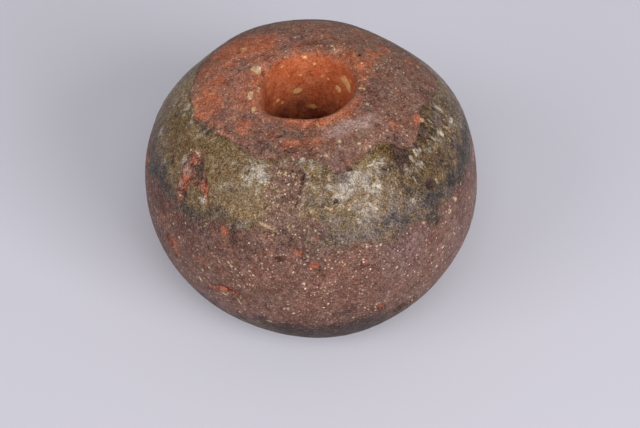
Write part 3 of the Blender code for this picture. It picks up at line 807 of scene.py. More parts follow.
CREAM_MARKS = (
    (0.7, (-61, 38.5)), (0.8, (-60.6, 38)), (0.8, (-58, 39.3), (-56, 39.6)),
    (0.5, (-55, 42), (-53.5, 42.6)), (0.7, (-54.4, 23.8), (-52.6, 24)), (1.1, (-53.4, 29.6)),
    (1.0, (-51.8, 29.2), (-51, 28.4)), (0.8, (-44, 44)), (0.7, (-43.4, 32)),
    (0.7, (-43, 30), (-42, 28)), (0.5, (-43, 40.5), (-42.5, 39.5)), (0.7, (-41, 27), (-41, 25.5)),
    (0.9, (-39, -1.4), (-38.4, -2.8)), (0.7, (-38, 44)), (0.6, (-35, 46)), (0.7, (-34, -0.6)),
    (0.8, (-29.6, -3), (-28, -3.4)), (0.6, (-29, 40.4), (-28, 44)),
    (0.55, (-27.6, 47.3), (-24, 46.4), (-21.4, 46)), (0.6, (-27, 12.4), (-26, 11)),
    (0.7, (-24, -3), (-23, -5.4)), (0.5, (-22.6, 0), (-23, -2)),
    (0.8, (-14.6, -11.6), (-13, -12.2)), (0.5, (-14.6, -9.6), (-13.6, -9.8)), (0.5, (-2.4, 41.6)),
    (0.5, (-1.4, 18.6), (-0.4, 19.4)), (0.7, (-1.4, 47)), (0.6, (-0.2, 13)),
    (0.5, (1.4, 31.8), (1.8, 32.8), (2.8, 33.2)), (0.6, (4.6, -4.6), (7.6, -3)),
    (0.6, (20.8, -1.4)), (0.9, (22.4, -5), (22.6, -8.4)), (0.6, (24, 45), (26, 46.4)),
    (0.6, (25.6, -2.4), (26.8, -1)), (0.9, (26.5, 38)), (1.4, (28, 39.6)), (0.7, (28, 41.5)),
    (0.8, (29, 46), (33, 45.6)), (1.5, (30, 38.4)), (0.9, (31, 5.2)), (0.8, (34, 45.4), (37, 44.8)),
    (0.6, (35.4, -16), (36.4, -14.6)), (0.8, (42, 29.4), (41, 28.6)), (0.7, (46, 36), (46, 34)),
    (1.2, (50.6, 42), (50.4, 39.5)), (1.1, (54, 42), (53.5, 40.5)), (1.2, (58.5, 42), (57, 40.5)),
    (0.8, (67, 40), (68, 38)), (0.8, (71, 45.6), (72.4, 45)), (1.6, (72.6, 38), (73.6, 36.4)),
    (1.2, (73, 38), (73, 36)), (0.8, (78, 35), (78, 33)), (0.6, (82, 44), (82.4, 43)),
    (1.5, (83.4, 33.8), (86, 33.2)), (0.7, (86, 34), (87, 32)), (1.1, (86, 41), (86, 39)),
    (0.6, (89, 28), (89, 26.5)),
)
OCHRE_MARKS = (
    (0.7, (-93, 54), (-91, 53)), (0.6, (-25.6, 2.6), (-23.6, 1.6)), (1.2, (-18, 29.4), (-15, 28.8)),
    (0.9, (-14.6, 28.4), (-11.4, 27.6)), (0.8, (-8, 30), (-7, 28.6)),
    (0.7, (4, 35.8), (6.6, 35.4), (9.4, 36.2)), (0.4, (5, 8), (3.8, 6)),
    (0.5, (5, 14), (6, 11), (5, 8), (4.6, 5)), (0.8, (5, 46.5)), (0.4, (6, 11), (7.2, 9)),
    (1.0, (9, 46), (9.4, 44.4)), (0.8, (15, 35.4), (17, 36), (19.6, 36.8)),
    (0.8, (72, 42), (73, 40)), (1.2, (77.6, 36.4), (79, 35), (80.6, 33.6)),
)
EMBER_MARKS = (
    (1.4, (-57.2, 37.6), (-55.4, 36.2)), (0.6, (-56, 39), (-54.6, 38.6)),
    (1.7, (-55.6, 30.6), (-54.6, 27.4)), (0.9, (-54.4, 27), (-53.6, 26)),
    (2.0, (-52.8, 5.6), (-51.8, 3.6)), (0.9, (-50.6, 6.6), (-50, 5)),
    (1.2, (-50.4, 37), (-48.6, 34.4)), (0.8, (-48.6, 32.4), (-46, 32.2)),
    (1.9, (-45.4, 32.8), (-43, 31.2)), (0.6, (-39, 9), (-37, 8)),
    (1.7, (-30.6, -1.4), (-29.2, -1.6)), (0.9, (-25.2, -1), (-24.4, -1)),
    (0.9, (-4.2, 21.2), (-3.2, 20.8)), (2.7, (1.3, 16.7), (1.9, 16.7)),
    (0.8, (1.6, 27), (2.4, 25.6)), (1.2, (23.6, -6), (24.6, -8)), (0.7, (60, 50)),
    (1.2, (70, 46.8), (71.4, 46)),
)
SCAR_MARKS = (
    (2.4, (-58.8, 35.8), (-57.6, 33.4), (-56.2, 31.4)), (1.6, (-56.6, 28.6), (-55.8, 26)),
    (1.2, (-32, -4), (-30, -3.4)),
)
LINES = {"cracks": CRACKS, "cream": CREAM_MARKS, "ochre": OCHRE_MARKS, "embers": EMBER_MARKS,
         "scars": SCAR_MARKS}
lines = {name: np.where(into_hole > 0.5, FAR_OFF, line_reach(marks))
         for name, marks in LINES.items()}
print("lines:", {name: len(marks) for name, marks in LINES.items()})

# %% Stones, dark glassy islands and pits
# Azimuth, elevation and radius in millimetres
WHITE_STONES = (
    (-173, 73.0, 0.7), (-150, 5.0, 0.9), (-148, 65.0, 0.4), (-133, 69.8, 0.8), (-130, 56.0, 0.8),
    (-129.6, 54.6, 0.6), (-125, -10.0, 0.6), (-115, 66.6, 0.7), (-114, 48.0, 0.5),
    (-111.4, 65.4, 1.1), (-111, 67.0, 1.4), (-108, 67.6, 1.0), (-98, 57.0, 0.4), (-87.4, 50.8, 0.5),
    (-87, 68.6, 0.5), (-86.6, 52.4, 0.6), (-84, 69.4, 0.9), (-79.4, 69.2, 0.9), (-77, 44.0, 0.6),
    (-77, 65.6, 1.0), (-74, 65.0, 0.9), (-71, 64.8, 0.7), (-66, 9.0, 0.4), (-58.8, 56.6, 0.5),
    (-57.2, 55.6, 0.5), (-57, 63.6, 0.9), (-55, 62.8, 0.5), (-40, -2.0, 0.6), (-27.4, 12.4, 0.6),
    (-18, 5.0, 0.4), (-0.8, 18.8, 0.5), (2, 5.0, 0.4), (6.8, 18.6, 0.4), (7.6, 66.0, 0.6),
    (10, 53.0, 0.6), (16, -4.0, 0.5), (18.0, 30.6, 0.5), (20.4, 57.2, 0.6), (21.6, 56.8, 0.4),
    (31, 54.0, 0.6), (38.8, 25.0, 0.5), (41, 54.6, 0.5), (42.4, 20.3, 0.7), (47.4, 19.6, 0.5),
    (52, 46.0, 0.4), (56, 16.0, 0.7), (60, 50.4, 0.5), (60.4, 17.4, 0.8), (62, 64.4, 0.7),
    (66, 52.0, 0.4), (72, 45.2, 0.9), (80.6, 68.0, 0.6), (81, 69.4, 0.7), (95, -6.0, 0.7),
    (112, 44.0, 0.6), (119, 66.0, 0.6), (120, 10.0, 0.8), (140, 47.0, 0.7), (158, 66.0, 0.6),
    (165, -8.0, 0.7),
)
RED_STONES = (
    (-172, 72.5, 0.5), (-140, 12.0, 0.9), (-105, -12.0, 0.7), (-14, 5.0, 0.4), (-6, 24, 0.4),
    (23, -7, 0.7), (43, 20.0, 0.4), (60, 50.5, 0.4), (112, 8.0, 0.8), (178, -2.0, 0.8),
)
ISLANDS = (
    (-54.4, 35.4, 0.9), (-52, 35.8, 1.7), (-50.4, 34.4, 1.6), (41, 32.8, 0.9), (84, 42.0, 0.8),
)
PITS = (
    (-165, 26.0, 0.8), (-117.4, 69.8, 0.8), (-115, 70.4, 1.1), (-95, 4.0, 0.7), (-76, 69.4, 0.4),
    (-68, 8.6, 0.5), (-66.6, 31.0, 0.6), (-65.4, 29.4, 0.7), (-63, 29.4, 0.5), (-53.6, 25.6, 0.6),
    (-53, 37.4, 0.7), (-51.8, 24.8, 0.7), (-51.2, 26, 0.9), (-49.4, 33.8, 0.9), (-47, 34.2, 0.6),
    (-41.6, 39.2, 0.5), (-36, 14.6, 0.5), (-29, 7.0, 0.4), (-26, 8.4, 0.7), (-24, 1.0, 0.5),
    (-22.4, 60.0, 0.5), (-10.4, 18.2, 0.8), (3.4, 14.8, 0.5), (10.6, 37.6, 0.6), (17, 14.2, 0.7),
    (19.5, 47.2, 0.9), (21.2, -7.0, 0.9), (23, 2.0, 0.5), (25, 25.0, 0.4), (31, 33.0, 0.4),
    (33, -15.0, 0.9), (35.6, 43.0, 0.5), (36, -16.6, 0.8), (38.5, -13, 0.8), (51, 29.8, 1.4),
    (52.6, 29.2, 1.1), (75, 29.0, 0.6), (80, 23.0, 0.6), (88, 20.0, 0.5), (130, 12.0, 0.7),
    (130.6, 63.6, 0.8), (150, -14.0, 0.6),
)
SPOTS = {"white_stones": WHITE_STONES, "red_stones": RED_STONES, "islands": ISLANDS,
         "pits": PITS}
spots = {name: spot_reach(places) for name, places in SPOTS.items()}
print("spots:", {name: len(places) for name, places in SPOTS.items()})

# %% [markdown]
# In the hole a few larger stones show, and one of them is a long ochre one with a dark outline.
# They are named by azimuth and by depth below the top.

# %% Stones in the wall of the hole
# Azimuth, depth below the top, half width and half height, the last three in millimetres
HOLE_STONES = (
    (-173, 2.0, 1.0, 0.8), (-168, 9.0, 0.65, 0.65), (-163.6, 15.0, 1.7, 1.2), (-152, 8.0, 0.5, 0.5),
    (-142.6, 3.2, 0.8, 0.6), (-142, 17.4, 0.8, 0.7), (-134, 15.4, 1.0, 0.9), (-126, 15.2, 0.7, 0.7),
    (-40, 26.0, 0.7, 0.9), (15, 14.0, 0.6, 0.5), (60, 20.0, 0.8, 0.6), (116, 4.6, 0.9, 0.7),
    (122, 8.8, 1.5, 1.3), (127, 7.2, 2.5, 1.8), (131, 5.8, 0.9, 0.9), (142, 12.2, 1.3, 1.5),
    (157, 9.8, 0.60, 0.60), (165, 9.4, 0.70, 0.65), (175, 4.8, 0.75, 0.7), (178, 22.0, 1.7, 1.1),
)
HOLE_STONES_FROM = 0.2          # share of the way over the lip into the hole

hole_stones = np.full(azimuth.shape, FAR_OFF)
for at_azimuth, at_depth, half_width, half_height in HOLE_STONES:
    across = np.radians((azimuth - at_azimuth + 180) % 360 - 180) * HOLE_WIDTH / 2 / half_width
    below = (hole_depth - at_depth) / half_height
    hole_stones = np.maximum(hole_stones, (1 - np.hypot(across, below)) * half_width)
hole_stones = np.where(into_hole > HOLE_STONES_FROM, hole_stones, FAR_OFF)
print("stones in the hole:", len(HOLE_STONES))

# %% [markdown]
# ## Relief of the whole skin
#
# The relief is one height for each place, along the way that the skin faces there. It adds up
# the unevenness of a hand-pressed ball, grit, pores, marks of wiping around the top, drag
# marks down the hole, the thickness of the glaze, and the broken places.

# %% Heights of the clay
FLAKED_PLACE = (
    (-95, 47), (-90, 45), (-85, 44), (-78, 44), (-73, 45), (-67, 47), (-63, 49), (-64, 52),
    (-71, 55), (-80, 56), (-90, 53), (-97, 51), (-104, 48),
)
BASE_FADE = 1.5
PALM_HEIGHT = 0.10
FINGER_HEIGHT = 0.06
GRIT_HEIGHT = 0.07
PORE_SHARE = 0.30
PORE_RADIUS = 0.35
PORE_EXTRA = 0.45
BIG_PORE_RADIUS = 0.6
BIG_PORE_SHARE = 0.10
WIPING_HEIGHT = 0.07
WIPING_TURN = 9                 # how far apart two sides of the top lie in the wiped noise
DRAGGING_HEIGHT = 0.06
DRAGGING_TURN = 13
DRAGGING_STRETCH = 9

flaked = outline_reach(FLAKED_PLACE)
flat_base = smooth_step(-skin[..., 2], BASE_DROP - BASE_FADE, BASE_DROP) * out_of_hole

hand = PALM_HEIGHT * waves(skin, 16.0, 11) + FINGER_HEIGHT * waves(skin, 7.0, 12)
grit = GRIT_HEIGHT * rough_waves(skin, 2.2, 13)

pore_distance, pore_own = pebbles(skin, 3.4, 17)
pore_radius = PORE_RADIUS + PORE_EXTRA * (pore_own * 7 % 1)
pores = smooth_step(pore_distance, pore_radius, 0.2 * pore_radius)
pores = np.where(pore_own < PORE_SHARE, pores, 0)
big_pores = (BIG_PORE_RADIUS - pore_distance) * (pore_own < BIG_PORE_SHARE)

arc = np.stack([np.sin(np.radians(azimuth)), -np.cos(np.radians(azimuth))], axis=-1)
wiped_place = np.concatenate([arc * WIPING_TURN, out_from_axis[..., None]], axis=-1)
on_top = smooth_step(elevation, 47, 54) * out_of_hole
wiping = WIPING_HEIGHT * waves(wiped_place, 1.5, 19) * on_top
drawn_out = skin[..., 2:] / DRAGGING_STRETCH
dragged_place = np.concatenate([arc * DRAGGING_TURN, drawn_out], axis=-1)
dragging = DRAGGING_HEIGHT * waves(dragged_place, 1.4, 23) * into_hole
print("pores on the grid:", (pores > 0.5).mean().round(3))

# %% [markdown]
# The rugged glaze at the right stands in ribs that run down the wall. Their noise is read from
# a place whose height is made less, which draws it out downward.

# %% The glaze, the marks and the sum
CYLINDER_RADIUS = 45.0          # about the wall's own, so that the ribs keep their width
RUN_STRETCH = 0.55
GLAZE_THICKNESS = 0.10
WORN_THINNER = 0.8
RIB_HEIGHT = 0.38
LUMP_HEIGHT = 0.05
RUGGED_LUMP_HEIGHT = 0.10
CRUMB_HEIGHT = 0.16
FLAKE_DEPTH = 0.26
FLAKE_TEAR = 0.24
CRACK_DEPTH = 0.28
STONE_HEIGHT = 0.12
PIT_DEPTH = 0.40
PORE_DEPTH = 0.16
RUBBED_SMOOTHER = 0.6

under_glaze = smooth_step(glaze, -0.3, 0.5)
worn_through = smooth_step(worn, -1, 1)
thickness = GLAZE_THICKNESS * under_glaze * (1 - WORN_THINNER * worn_through)
ribbed_place = np.concatenate([arc * CYLINDER_RADIUS, skin[..., 2:] * RUN_STRETCH], axis=-1)
ribs = RIB_HEIGHT * rugged * rough_waves(ribbed_place, 1.9, 53) * under_glaze
lumps = LUMP_HEIGHT + RUGGED_LUMP_HEIGHT * rugged
lumps = lumps * rough_waves(skin, 2.0, 29, layers=2) * under_glaze
crumbs = CRUMB_HEIGHT * worn_through * rough_waves(skin, 1.6, 59, layers=2)
flaking = FLAKE_TEAR * rough_waves(skin, 2.0, 41) - FLAKE_DEPTH
flaking = flaking * smooth_step(flaked, -0.6, 0.8)
own_cracks = CRACK_DEPTH * smooth_step(lines["cracks"], -0.2, 0.3)
raised = np.maximum(np.maximum(spots["white_stones"], spots["red_stones"]), lines["cream"])
raised = STONE_HEIGHT * smooth_step(np.maximum(raised, hole_stones), -0.2, 0.5)
own_pits = PIT_DEPTH * smooth_step(spots["pits"], -0.3, 0.7)
smoothed = 1 - RUBBED_SMOOTHER * rubbed_sheen

relief = hand + (grit - PORE_DEPTH * pores + wiping) * smoothed + dragging
relief = relief + thickness + ribs + lumps + crumbs + flaking
relief = relief - own_cracks - own_pits + raised - scooped
relief = relief * (1 - flat_base)
print("relief, in mm: from", relief.min().round(2), "to", relief.max().round(2))

# %% [markdown]
# The relief moves each place along the way that the skin faces. That way is the step to the
# next row crossed with the step to the next column. The moved skin is then set on the solid:
# the middle of its outline comes over the middle of the solid's, and its base lies at zero.

# %% Move the skin and set it on the solid
def facing(grid):
    """The step down the rows crossed with the step along the columns, made one long."""
    down = np.roll(grid, -1, axis=0) - np.roll(grid, 1, axis=0)
    along = np.roll(grid, -1, axis=1) - np.roll(grid, 1, axis=1)
    out = np.cross(down, along)
    return out / np.linalg.norm(out, axis=-1, keepdims=True)


plain_low = skin.reshape(-1, 3).min(axis=0)
plain_high = skin.reshape(-1, 3).max(axis=0)
shift = (solid_low + solid_high) / 2 - (plain_low + plain_high) / 2
shift[2] = BASE_DROP
placed = skin + facing(skin) * relief[..., None] + shift
placed[..., 2] = np.maximum(placed[..., 2], 0)
print("moved by, in mm:", shift.round(2))

# %% [markdown]
# The grid becomes a mesh: each face joins a place with its neighbours in the next row and the
# next column, and the last row and column join the first. The masks go with it as one number
# for each place, under a name that a material can read.

# %% The mesh and its masks
MASKS = {
    **soft,
    **lines,
    "upper_edge": np.where(into_hole > 0, FAR_OFF, below_upper_edge),
    "lower_edge": above_lower_edge,
    "vague": vague,
    "rugged": rugged,
    "worn": worn,
    "soot": soot,
    "rubbed_sheen": rubbed_sheen,
    "broken": broken,
    "gouged": gouged,
    "hole_stones": hole_stones,
    **spots,
    "pits": np.maximum(spots["pits"], big_pores),
    "into_hole": into_hole,
    "hole_depth": hole_depth,
}


def add_object(name, data):
    """A new object in the scene, at the origin."""
    made = bpy.data.objects.new(name, data)
    bpy.context.scene.collection.objects.link(made)
    return made


def make_skin(name, grid, masks):
    """A closed mesh in metres from a grid whose rows and columns both run around."""
    rows, across = grid.shape[:2]
    number = np.arange(rows * across).reshape(rows, across)
    below = np.roll(number, -1, axis=0)
    corners = (number, below, np.roll(below, -1, axis=1), np.roll(number, -1, axis=1))
    faces = np.stack(corners, axis=-1).reshape(-1, 4)
    mesh = bpy.data.meshes.new(name)
    mesh.from_pydata(grid.reshape(-1, 3) * MM, [], faces.tolist())
    for mask_name, values in masks.items():
        stored = mesh.attributes.new(mask_name, "FLOAT", "POINT")
        stored.data.foreach_set("value", values.astype(np.float32).ravel())
    mesh.shade_smooth()
    mesh.update()
    return add_object(name, mesh)


sinker = make_skin("fired_clay_sinker", placed, MASKS)
print("faces:", len(sinker.data.polygons), "masks:", len(MASKS))

# %% Compare the skin with the solid
COMPARED_EVERY = 37
tree = BVHTree.FromPolygons([v.co for v in solid.data.vertices],
                            [p.vertices for p in solid.data.polygons])
gaps = [tree.find_nearest(Vector(point * MM))[3] / MM
        for point in placed.reshape(-1, 3)[::COMPARED_EVERY]]
print("mean and largest gap to the solid, in mm:", np.mean(gaps).round(3), np.max(gaps).round(2))

# %% [markdown]
# ## Tools for a material
#
# A material is a web of small nodes. A few helpers keep it readable: they add a node and fill
# its sockets, do arithmetic on values and vectors, and mix two colours. A socket takes a plain
# number or colour, or another node's output.

# %% Helpers for nodes
def feed(web, socket, source):
    """Links the socket to an output, or sets it to a plain value."""
    if isinstance(source, bpy.types.NodeSocket):
        web.links.new(source, socket)
    else:
        socket.default_value = source


def add_node(web, kind, sources=None, **settings):
    """Adds a node, sets its properties and fills its sockets, by name or by number."""
    made = web.nodes.new(kind)
    for name, value in settings.items():
        setattr(made, name, value)
    for socket, source in (sources or {}).items():
        feed(web, made.inputs[socket], source)
    return made


def work(web, operation, *values):
    """Arithmetic on one, two or three values."""
    made = add_node(web, "ShaderNodeMath", dict(enumerate(values)), operation=operation)
    return made.outputs[0]


def vector_work(web, operation, *vectors, **scale):
    """Arithmetic on one or two vectors. To scale one, its number goes in as Scale."""
    sources = {**dict(enumerate(vectors)), **scale}
    return add_node(web, "ShaderNodeVectorMath", sources, operation=operation).outputs[0]


def rise(web, value, low, high, bottom=0.0, top=1.0):
    """From bottom to top in an S-shape, as the value goes from low to high."""
    sources = {"Value": value, "From Min": low, "From Max": high, "To Min": bottom, "To Max": top}
    made = add_node(web, "ShaderNodeMapRange", sources, interpolation_type="SMOOTHSTEP")
    return made.outputs["Result"]


def mix(web, share, first, second, way="MIX"):
    """The first colour, or the second, or what lies between them. On a Mix node, inputs 6 and
    7 and output 2 are the ones for colours."""
    made = add_node(web, "ShaderNodeMix", {0: share, 6: first, 7: second},
                    data_type="RGBA", blend_type=way)
    return made.outputs[2]


CARD_POWER = 2.4


def paint(red, green, blue):
    """A colour as a paint card gives it, from 0 to 255, turned into light for the shader:
    below 0.04045 divided by 12.92, and above that ((c + 0.055) / 1.055) to the power 2.4."""
    card = np.array([red, green, blue]) / 255
    light = np.where(card < 0.04045, card / 12.92, ((card + 0.055) / 1.055) ** CARD_POWER)
    return (*light.tolist(), 1.0)


print("mid grey as light:", round(paint(128, 128, 128)[0], 3))

# %% [markdown]
# ## Effects that are used again and again
#
# Mottling, speckles, torn edges and grit turn up in every finish, at other sizes and strengths.
# Each is a node group: a web of nodes with named inputs, built once and placed wherever it is
# needed. A group gives out only masks, values and colours, and the shader itself stays in the
# material.

# %% An empty group
KINDS = {"value": "NodeSocketFloat", "vector": "NodeSocketVector", "colour": "NodeSocketColor"}


def new_group(name, inputs, outputs):
    """An empty node group. Inputs are (name, start value), where "vector" or "colour" stands
    for a socket of that kind, and outputs are (name, kind). Gives the group, what goes in and
    what comes out."""
    group = bpy.data.node_groups.new(name, "ShaderNodeTree")
    for input_name, value in inputs:
        kind = KINDS.get(value, KINDS["value"])
        socket = group.interface.new_socket(input_name, in_out="INPUT", socket_type=kind)
        if value not in KINDS:
            socket.default_value = value
    for output_name, kind in outputs:
        group.interface.new_socket(output_name, in_out="OUTPUT", socket_type=KINDS[kind])
    given = group.nodes.new("NodeGroupInput").outputs
    result = group.nodes.new("NodeGroupOutput").inputs
    return group, given, result


print("groups so far:", len(bpy.data.node_groups))


# %% Group: mottling
def build_mottling():
    """Layered noise of a size in millimetres, spread out so that it reaches from 0 to 1."""
    group, given, result = new_group(
        "mottling", [("Place", "vector"), ("Size", 5.0), ("Fineness", 3.0), ("Spread", 0.2)],
        [("Mask", "value")])
    scale = work(group, "DIVIDE", 1.0, given["Size"])
    noise = add_node(group, "ShaderNodeTexNoise", {
        "Vector": given["Place"], "Scale": scale, "Detail": given["Fineness"], "Roughness": 0.6})
    low = work(group, "SUBTRACT", 0.5, given["Spread"])
    high = work(group, "ADD", 0.5, given["Spread"])
    feed(group, result["Mask"], rise(group, noise.outputs[0], low, high))
    return group


mottling = build_mottling()
print("mottling has", len(mottling.nodes), "nodes")


# %% Group: speckles
def build_speckles():
    """Grains strewn one to a cell. Only a share of the cells show theirs, each grain has its
    own radius, from half to one and a half times the size, and noise bends its outline."""
    group, given, result = new_group(
        "speckles", [("Place", "vector"), ("Spacing", 2.0), ("Size", 0.4), ("Share", 0.3),
                     ("Bend", 0.3)], [("Mask", "value")])
    noise_scale = work(group, "DIVIDE", 0.9, given["Size"])
    noise = add_node(group, "ShaderNodeTexNoise", {
        "Vector": given["Place"], "Scale": noise_scale, "Detail": 1.0})
    both_ways = vector_work(group, "SUBTRACT", noise.outputs["Color"], (0.5, 0.5, 0.5))
    push = vector_work(group, "SCALE", both_ways, Scale=given["Bend"])
    bent = vector_work(group, "ADD", given["Place"], push)
    scale = work(group, "DIVIDE", 1.0, given["Spacing"])
    cells = add_node(group, "ShaderNodeTexVoronoi", {"Vector": bent, "Scale": scale})
    own = add_node(group, "ShaderNodeSeparateColor", {0: cells.outputs["Color"]}).outputs
    away = work(group, "MULTIPLY", cells.outputs["Distance"], given["Spacing"])
    radius = work(group, "MULTIPLY", given["Size"], work(group, "ADD", 0.5, own[1]))
    inner = work(group, "MULTIPLY", radius, 0.6)
    shown = work(group, "LESS_THAN", own[0], given["Share"])
    feed(group, result["Mask"], work(group, "MULTIPLY", rise(group, away, radius, inner), shown))
    return group


speckles = build_speckles()
print("speckles has", len(speckles.nodes), "nodes")


# %% Group: torn edge
def build_torn_edge():
    """A reach in millimetres, pushed in and out by noise of a given size and height."""
    group, given, result = new_group(
        "torn edge", [("Reach", 0.0), ("Place", "vector"), ("Size", 2.0), ("Height", 1.0)],
        [("Reach", "value")])
    scale = work(group, "DIVIDE", 1.0, given["Size"])
    noise = add_node(group, "ShaderNodeTexNoise", {
        "Vector": given["Place"], "Scale": scale, "Detail": 4.0, "Roughness": 0.65})
    both_ways = work(group, "SUBTRACT", noise.outputs[0], 0.5)
    push = work(group, "MULTIPLY", both_ways, given["Height"])
    feed(group, result["Reach"], work(group, "ADD", given["Reach"], push))
    return group


torn_edge = build_torn_edge()
print("torn edge has", len(torn_edge.nodes), "nodes")


# %% Group: grit
def build_grit():
    """Makes a colour lighter and darker by noise, in steps that are even to the eye: the 2.4th
    root brings the colour to the scale of a paint card, the strength times the noise, which
    lies between minus one and one, is added, and the power of 2.4 brings it back."""
    group, given, result = new_group(
        "grit", [("Colour", "colour"), ("Place", "vector"), ("Size", 0.5), ("Strength", 0.1)],
        [("Colour", "colour")])
    noise = add_node(group, "ShaderNodeGroup", {
        "Place": given["Place"], "Size": given["Size"], "Fineness": 2.0, "Spread": 0.16},
        node_tree=mottling).outputs[0]
    both_ways = work(group, "MULTIPLY_ADD", noise, 2.0, -1.0)
    push = work(group, "MULTIPLY", both_ways, given["Strength"])
    card = add_node(group, "ShaderNodeGamma", {
        "Color": given["Colour"], "Gamma": 1 / CARD_POWER}).outputs[0]
    moved = vector_work(group, "ADD", card, push)
    above_black = vector_work(group, "MAXIMUM", moved, (0.0, 0.0, 0.0))
    light = add_node(group, "ShaderNodeGamma", {"Color": above_black, "Gamma": CARD_POWER})
    feed(group, result["Colour"], light.outputs[0])
    return group


grit_group = build_grit()
print("grit has", len(grit_group.nodes), "nodes")

# %% [markdown]
# ## The fired clay, layer by layer
#
# One material covers the whole sinker, because it is one piece of clay. It is built up as a
# restorer would describe it: bare clay first, then what the fire did to its colour, the grains
# in it, the soot and the ash glaze over it, and the worn and broken places. Each step takes the
# colour so far and covers it with something, as far as a mask or grains let it show.

# %% The material and its helpers
clay = bpy.data.materials.new("fired_clay_with_ash_glaze")
clay.use_nodes = True
web = clay.node_tree
shader = web.nodes["Principled BSDF"]
coordinates = add_node(web, "ShaderNodeTexCoord").outputs["Object"]
here = vector_work(web, "SCALE", coordinates, Scale=1 / MM)


def use(group, **sources):
    """Places a group in the material, fills its inputs and gives its outputs."""
    placed_group = add_node(web, "ShaderNodeGroup", node_tree=group)
    for name, source in sources.items():
        feed(web, placed_group.inputs[name], source)
    return placed_group.outputs


def mask(name):
    """The mask of that name from the mesh."""
    return add_node(web, "ShaderNodeAttribute", attribute_name=name).outputs["Fac"]


def mottled(size, fineness=3.0, spread=0.2, where=here):
    """Mottling of one size in millimetres. The smaller its spread, the harder its spots."""
    return use(mottling, Place=where, Size=size, Fineness=fineness, Spread=spread)[0]


def grains(spacing, size, share, bend=0.3, where=here):
    """Where grains of one kind show: their spacing and size in millimetres, the share of the
    cells that show theirs, and how far noise bends their outlines."""
    return use(speckles, Place=where, Spacing=spacing, Size=size, Share=share, Bend=bend)[0]


def torn(name, size, height):
    """A reach from the mesh, with its edge torn by noise of that size and height."""
    return use(torn_edge, Reach=mask(name), Place=here, Size=size, Height=height)[0]


def gritty(base, size, strength):
    """The colour made lighter and darker from place to place."""
    return use(grit_group, Colour=base, Place=here, Size=size, Strength=strength)[0]


def times(*values):
    """Values multiplied together."""
    total = values[0]
    for value in values[1:]:
        total = work(web, "MULTIPLY", total, value)
    return total


def plus(*values):
    """Values added together."""
    total = values[0]
    for value in values[1:]:
        total = work(web, "ADD", total, value)
    return total


def without(value):
    """One less the value."""
    return work(web, "SUBTRACT", 1.0, value)


def either(first, second):
    """The larger of two values."""
    return work(web, "MAXIMUM", first, second)


def cover(under, over, *shares, way="MIX"):
    """The first colour, covered by the second as far as all the shares, multiplied, say."""
    return mix(web, times(*shares), under, over, way)


print("material:", clay.name)

# %% [markdown]
# Nothing on the sinker has a smooth border. Where two finishes meet they are mixed grain by
# grain, so the finest noise of all is added to a soft mask before it is cut.

# %% Frayed masks
def centred(noise):
    """Noise from minus a half to a half, made from noise between none and one."""
    return work(web, "SUBTRACT", noise, 0.5)


finest = centred(mottled(0.7, 3.0, 0.26))


def frayed(value, size, height, fine_height):
    """The value pushed up and down by mottling of a size, and by the finest noise."""
    push = centred(mottled(size, 4.0))
    return plus(value, times(push, height), times(finest, fine_height))


def frayed_mask(name, size, height, fine_height, low, high):
    """A soft mask from the mesh, frayed, and cut so that it rises from low to high."""
    return rise(web, frayed(mask(name), size, height, fine_height), low, high)


print("nodes so far:", len(web.nodes))

# %% [markdown]
# Bare clay is brown, redder in some places and greyer in others. On the flat top it is lighter
# and warmer, most of all at the left, and on the wall it is darker.

# %% Bare clay
WALL_BROWN = paint(114, 80, 67)
WALL_RED = paint(122, 78, 62)
WALL_GREY = paint(100, 78, 69)
TOP_BROWN = paint(142, 97, 80)
TOP_GREY = paint(128, 96, 81)
TOP_WARM = paint(182, 114, 90)
DARK_BROWN = paint(88, 60, 50)
CLAY_MAUVE = paint(120, 93, 89)

wall_colour = mix(web, mottled(15.0), WALL_BROWN, WALL_RED)
wall_colour = cover(wall_colour, WALL_GREY, mottled(4.0, 4.0), 0.50)
top_colour = mix(web, mottled(5.0, 4.0), TOP_BROWN, TOP_GREY)
warm = frayed_mask("warm", 4.0, 0.7, 0.4, 0.15, 0.95)
top_colour = cover(top_colour, TOP_WARM, warm, 0.85)
on_wall = rise(web, mask("upper_edge"), -1.0, 1.0)
colour = mix(web, on_wall, top_colour, wall_colour)
mauve = frayed_mask("mauve", 3.0, 0.4, 0.15, 0.10, 1.0)
colour = cover(colour, CLAY_MAUVE, mauve, 0.62)
colour = cover(colour, DARK_BROWN, mottled(1.5, 4.0, 0.15), 0.45)
print("nodes with the bare clay:", len(web.nodes))

# %% [markdown]
# Where air reached the iron in the clay, the fire turned it orange. The soft blobs on the mesh
# say how strongly, and mottling breaks their edges up, so that they read as flame marks and
# not as spots.

# %% Orange flame marks
ORANGE_CLAY = paint(198, 110, 72)
RUST_CLAY = paint(160, 88, 60)

flame = frayed_mask("orange", 2.8, 0.46, 0.16, 0.08, 1.00)
flame_colour = mix(web, mottled(2.4, 3.0), ORANGE_CLAY, RUST_CLAY)
colour = cover(colour, flame_colour, flame, 0.90)
print("nodes with the flame marks:", len(web.nodes))

# %% [markdown]
# The hole was never glazed or handled, so its clay kept the brightest orange, but for the lip,
# which is darker. It gets browner with depth.

# %% Clay in the rope hole
HOLE_ORANGE = paint(211, 125, 82)
HOLE_RUST = paint(190, 88, 46)
HOLE_BROWN = paint(92, 36, 16)
LIP_CLAY = paint(167, 88, 52)
BROWN_DEPTHS = (19.0, 36.0)     # where the brown begins, and where all is brown
LIP_DEPTHS = (0.6, 4.6)

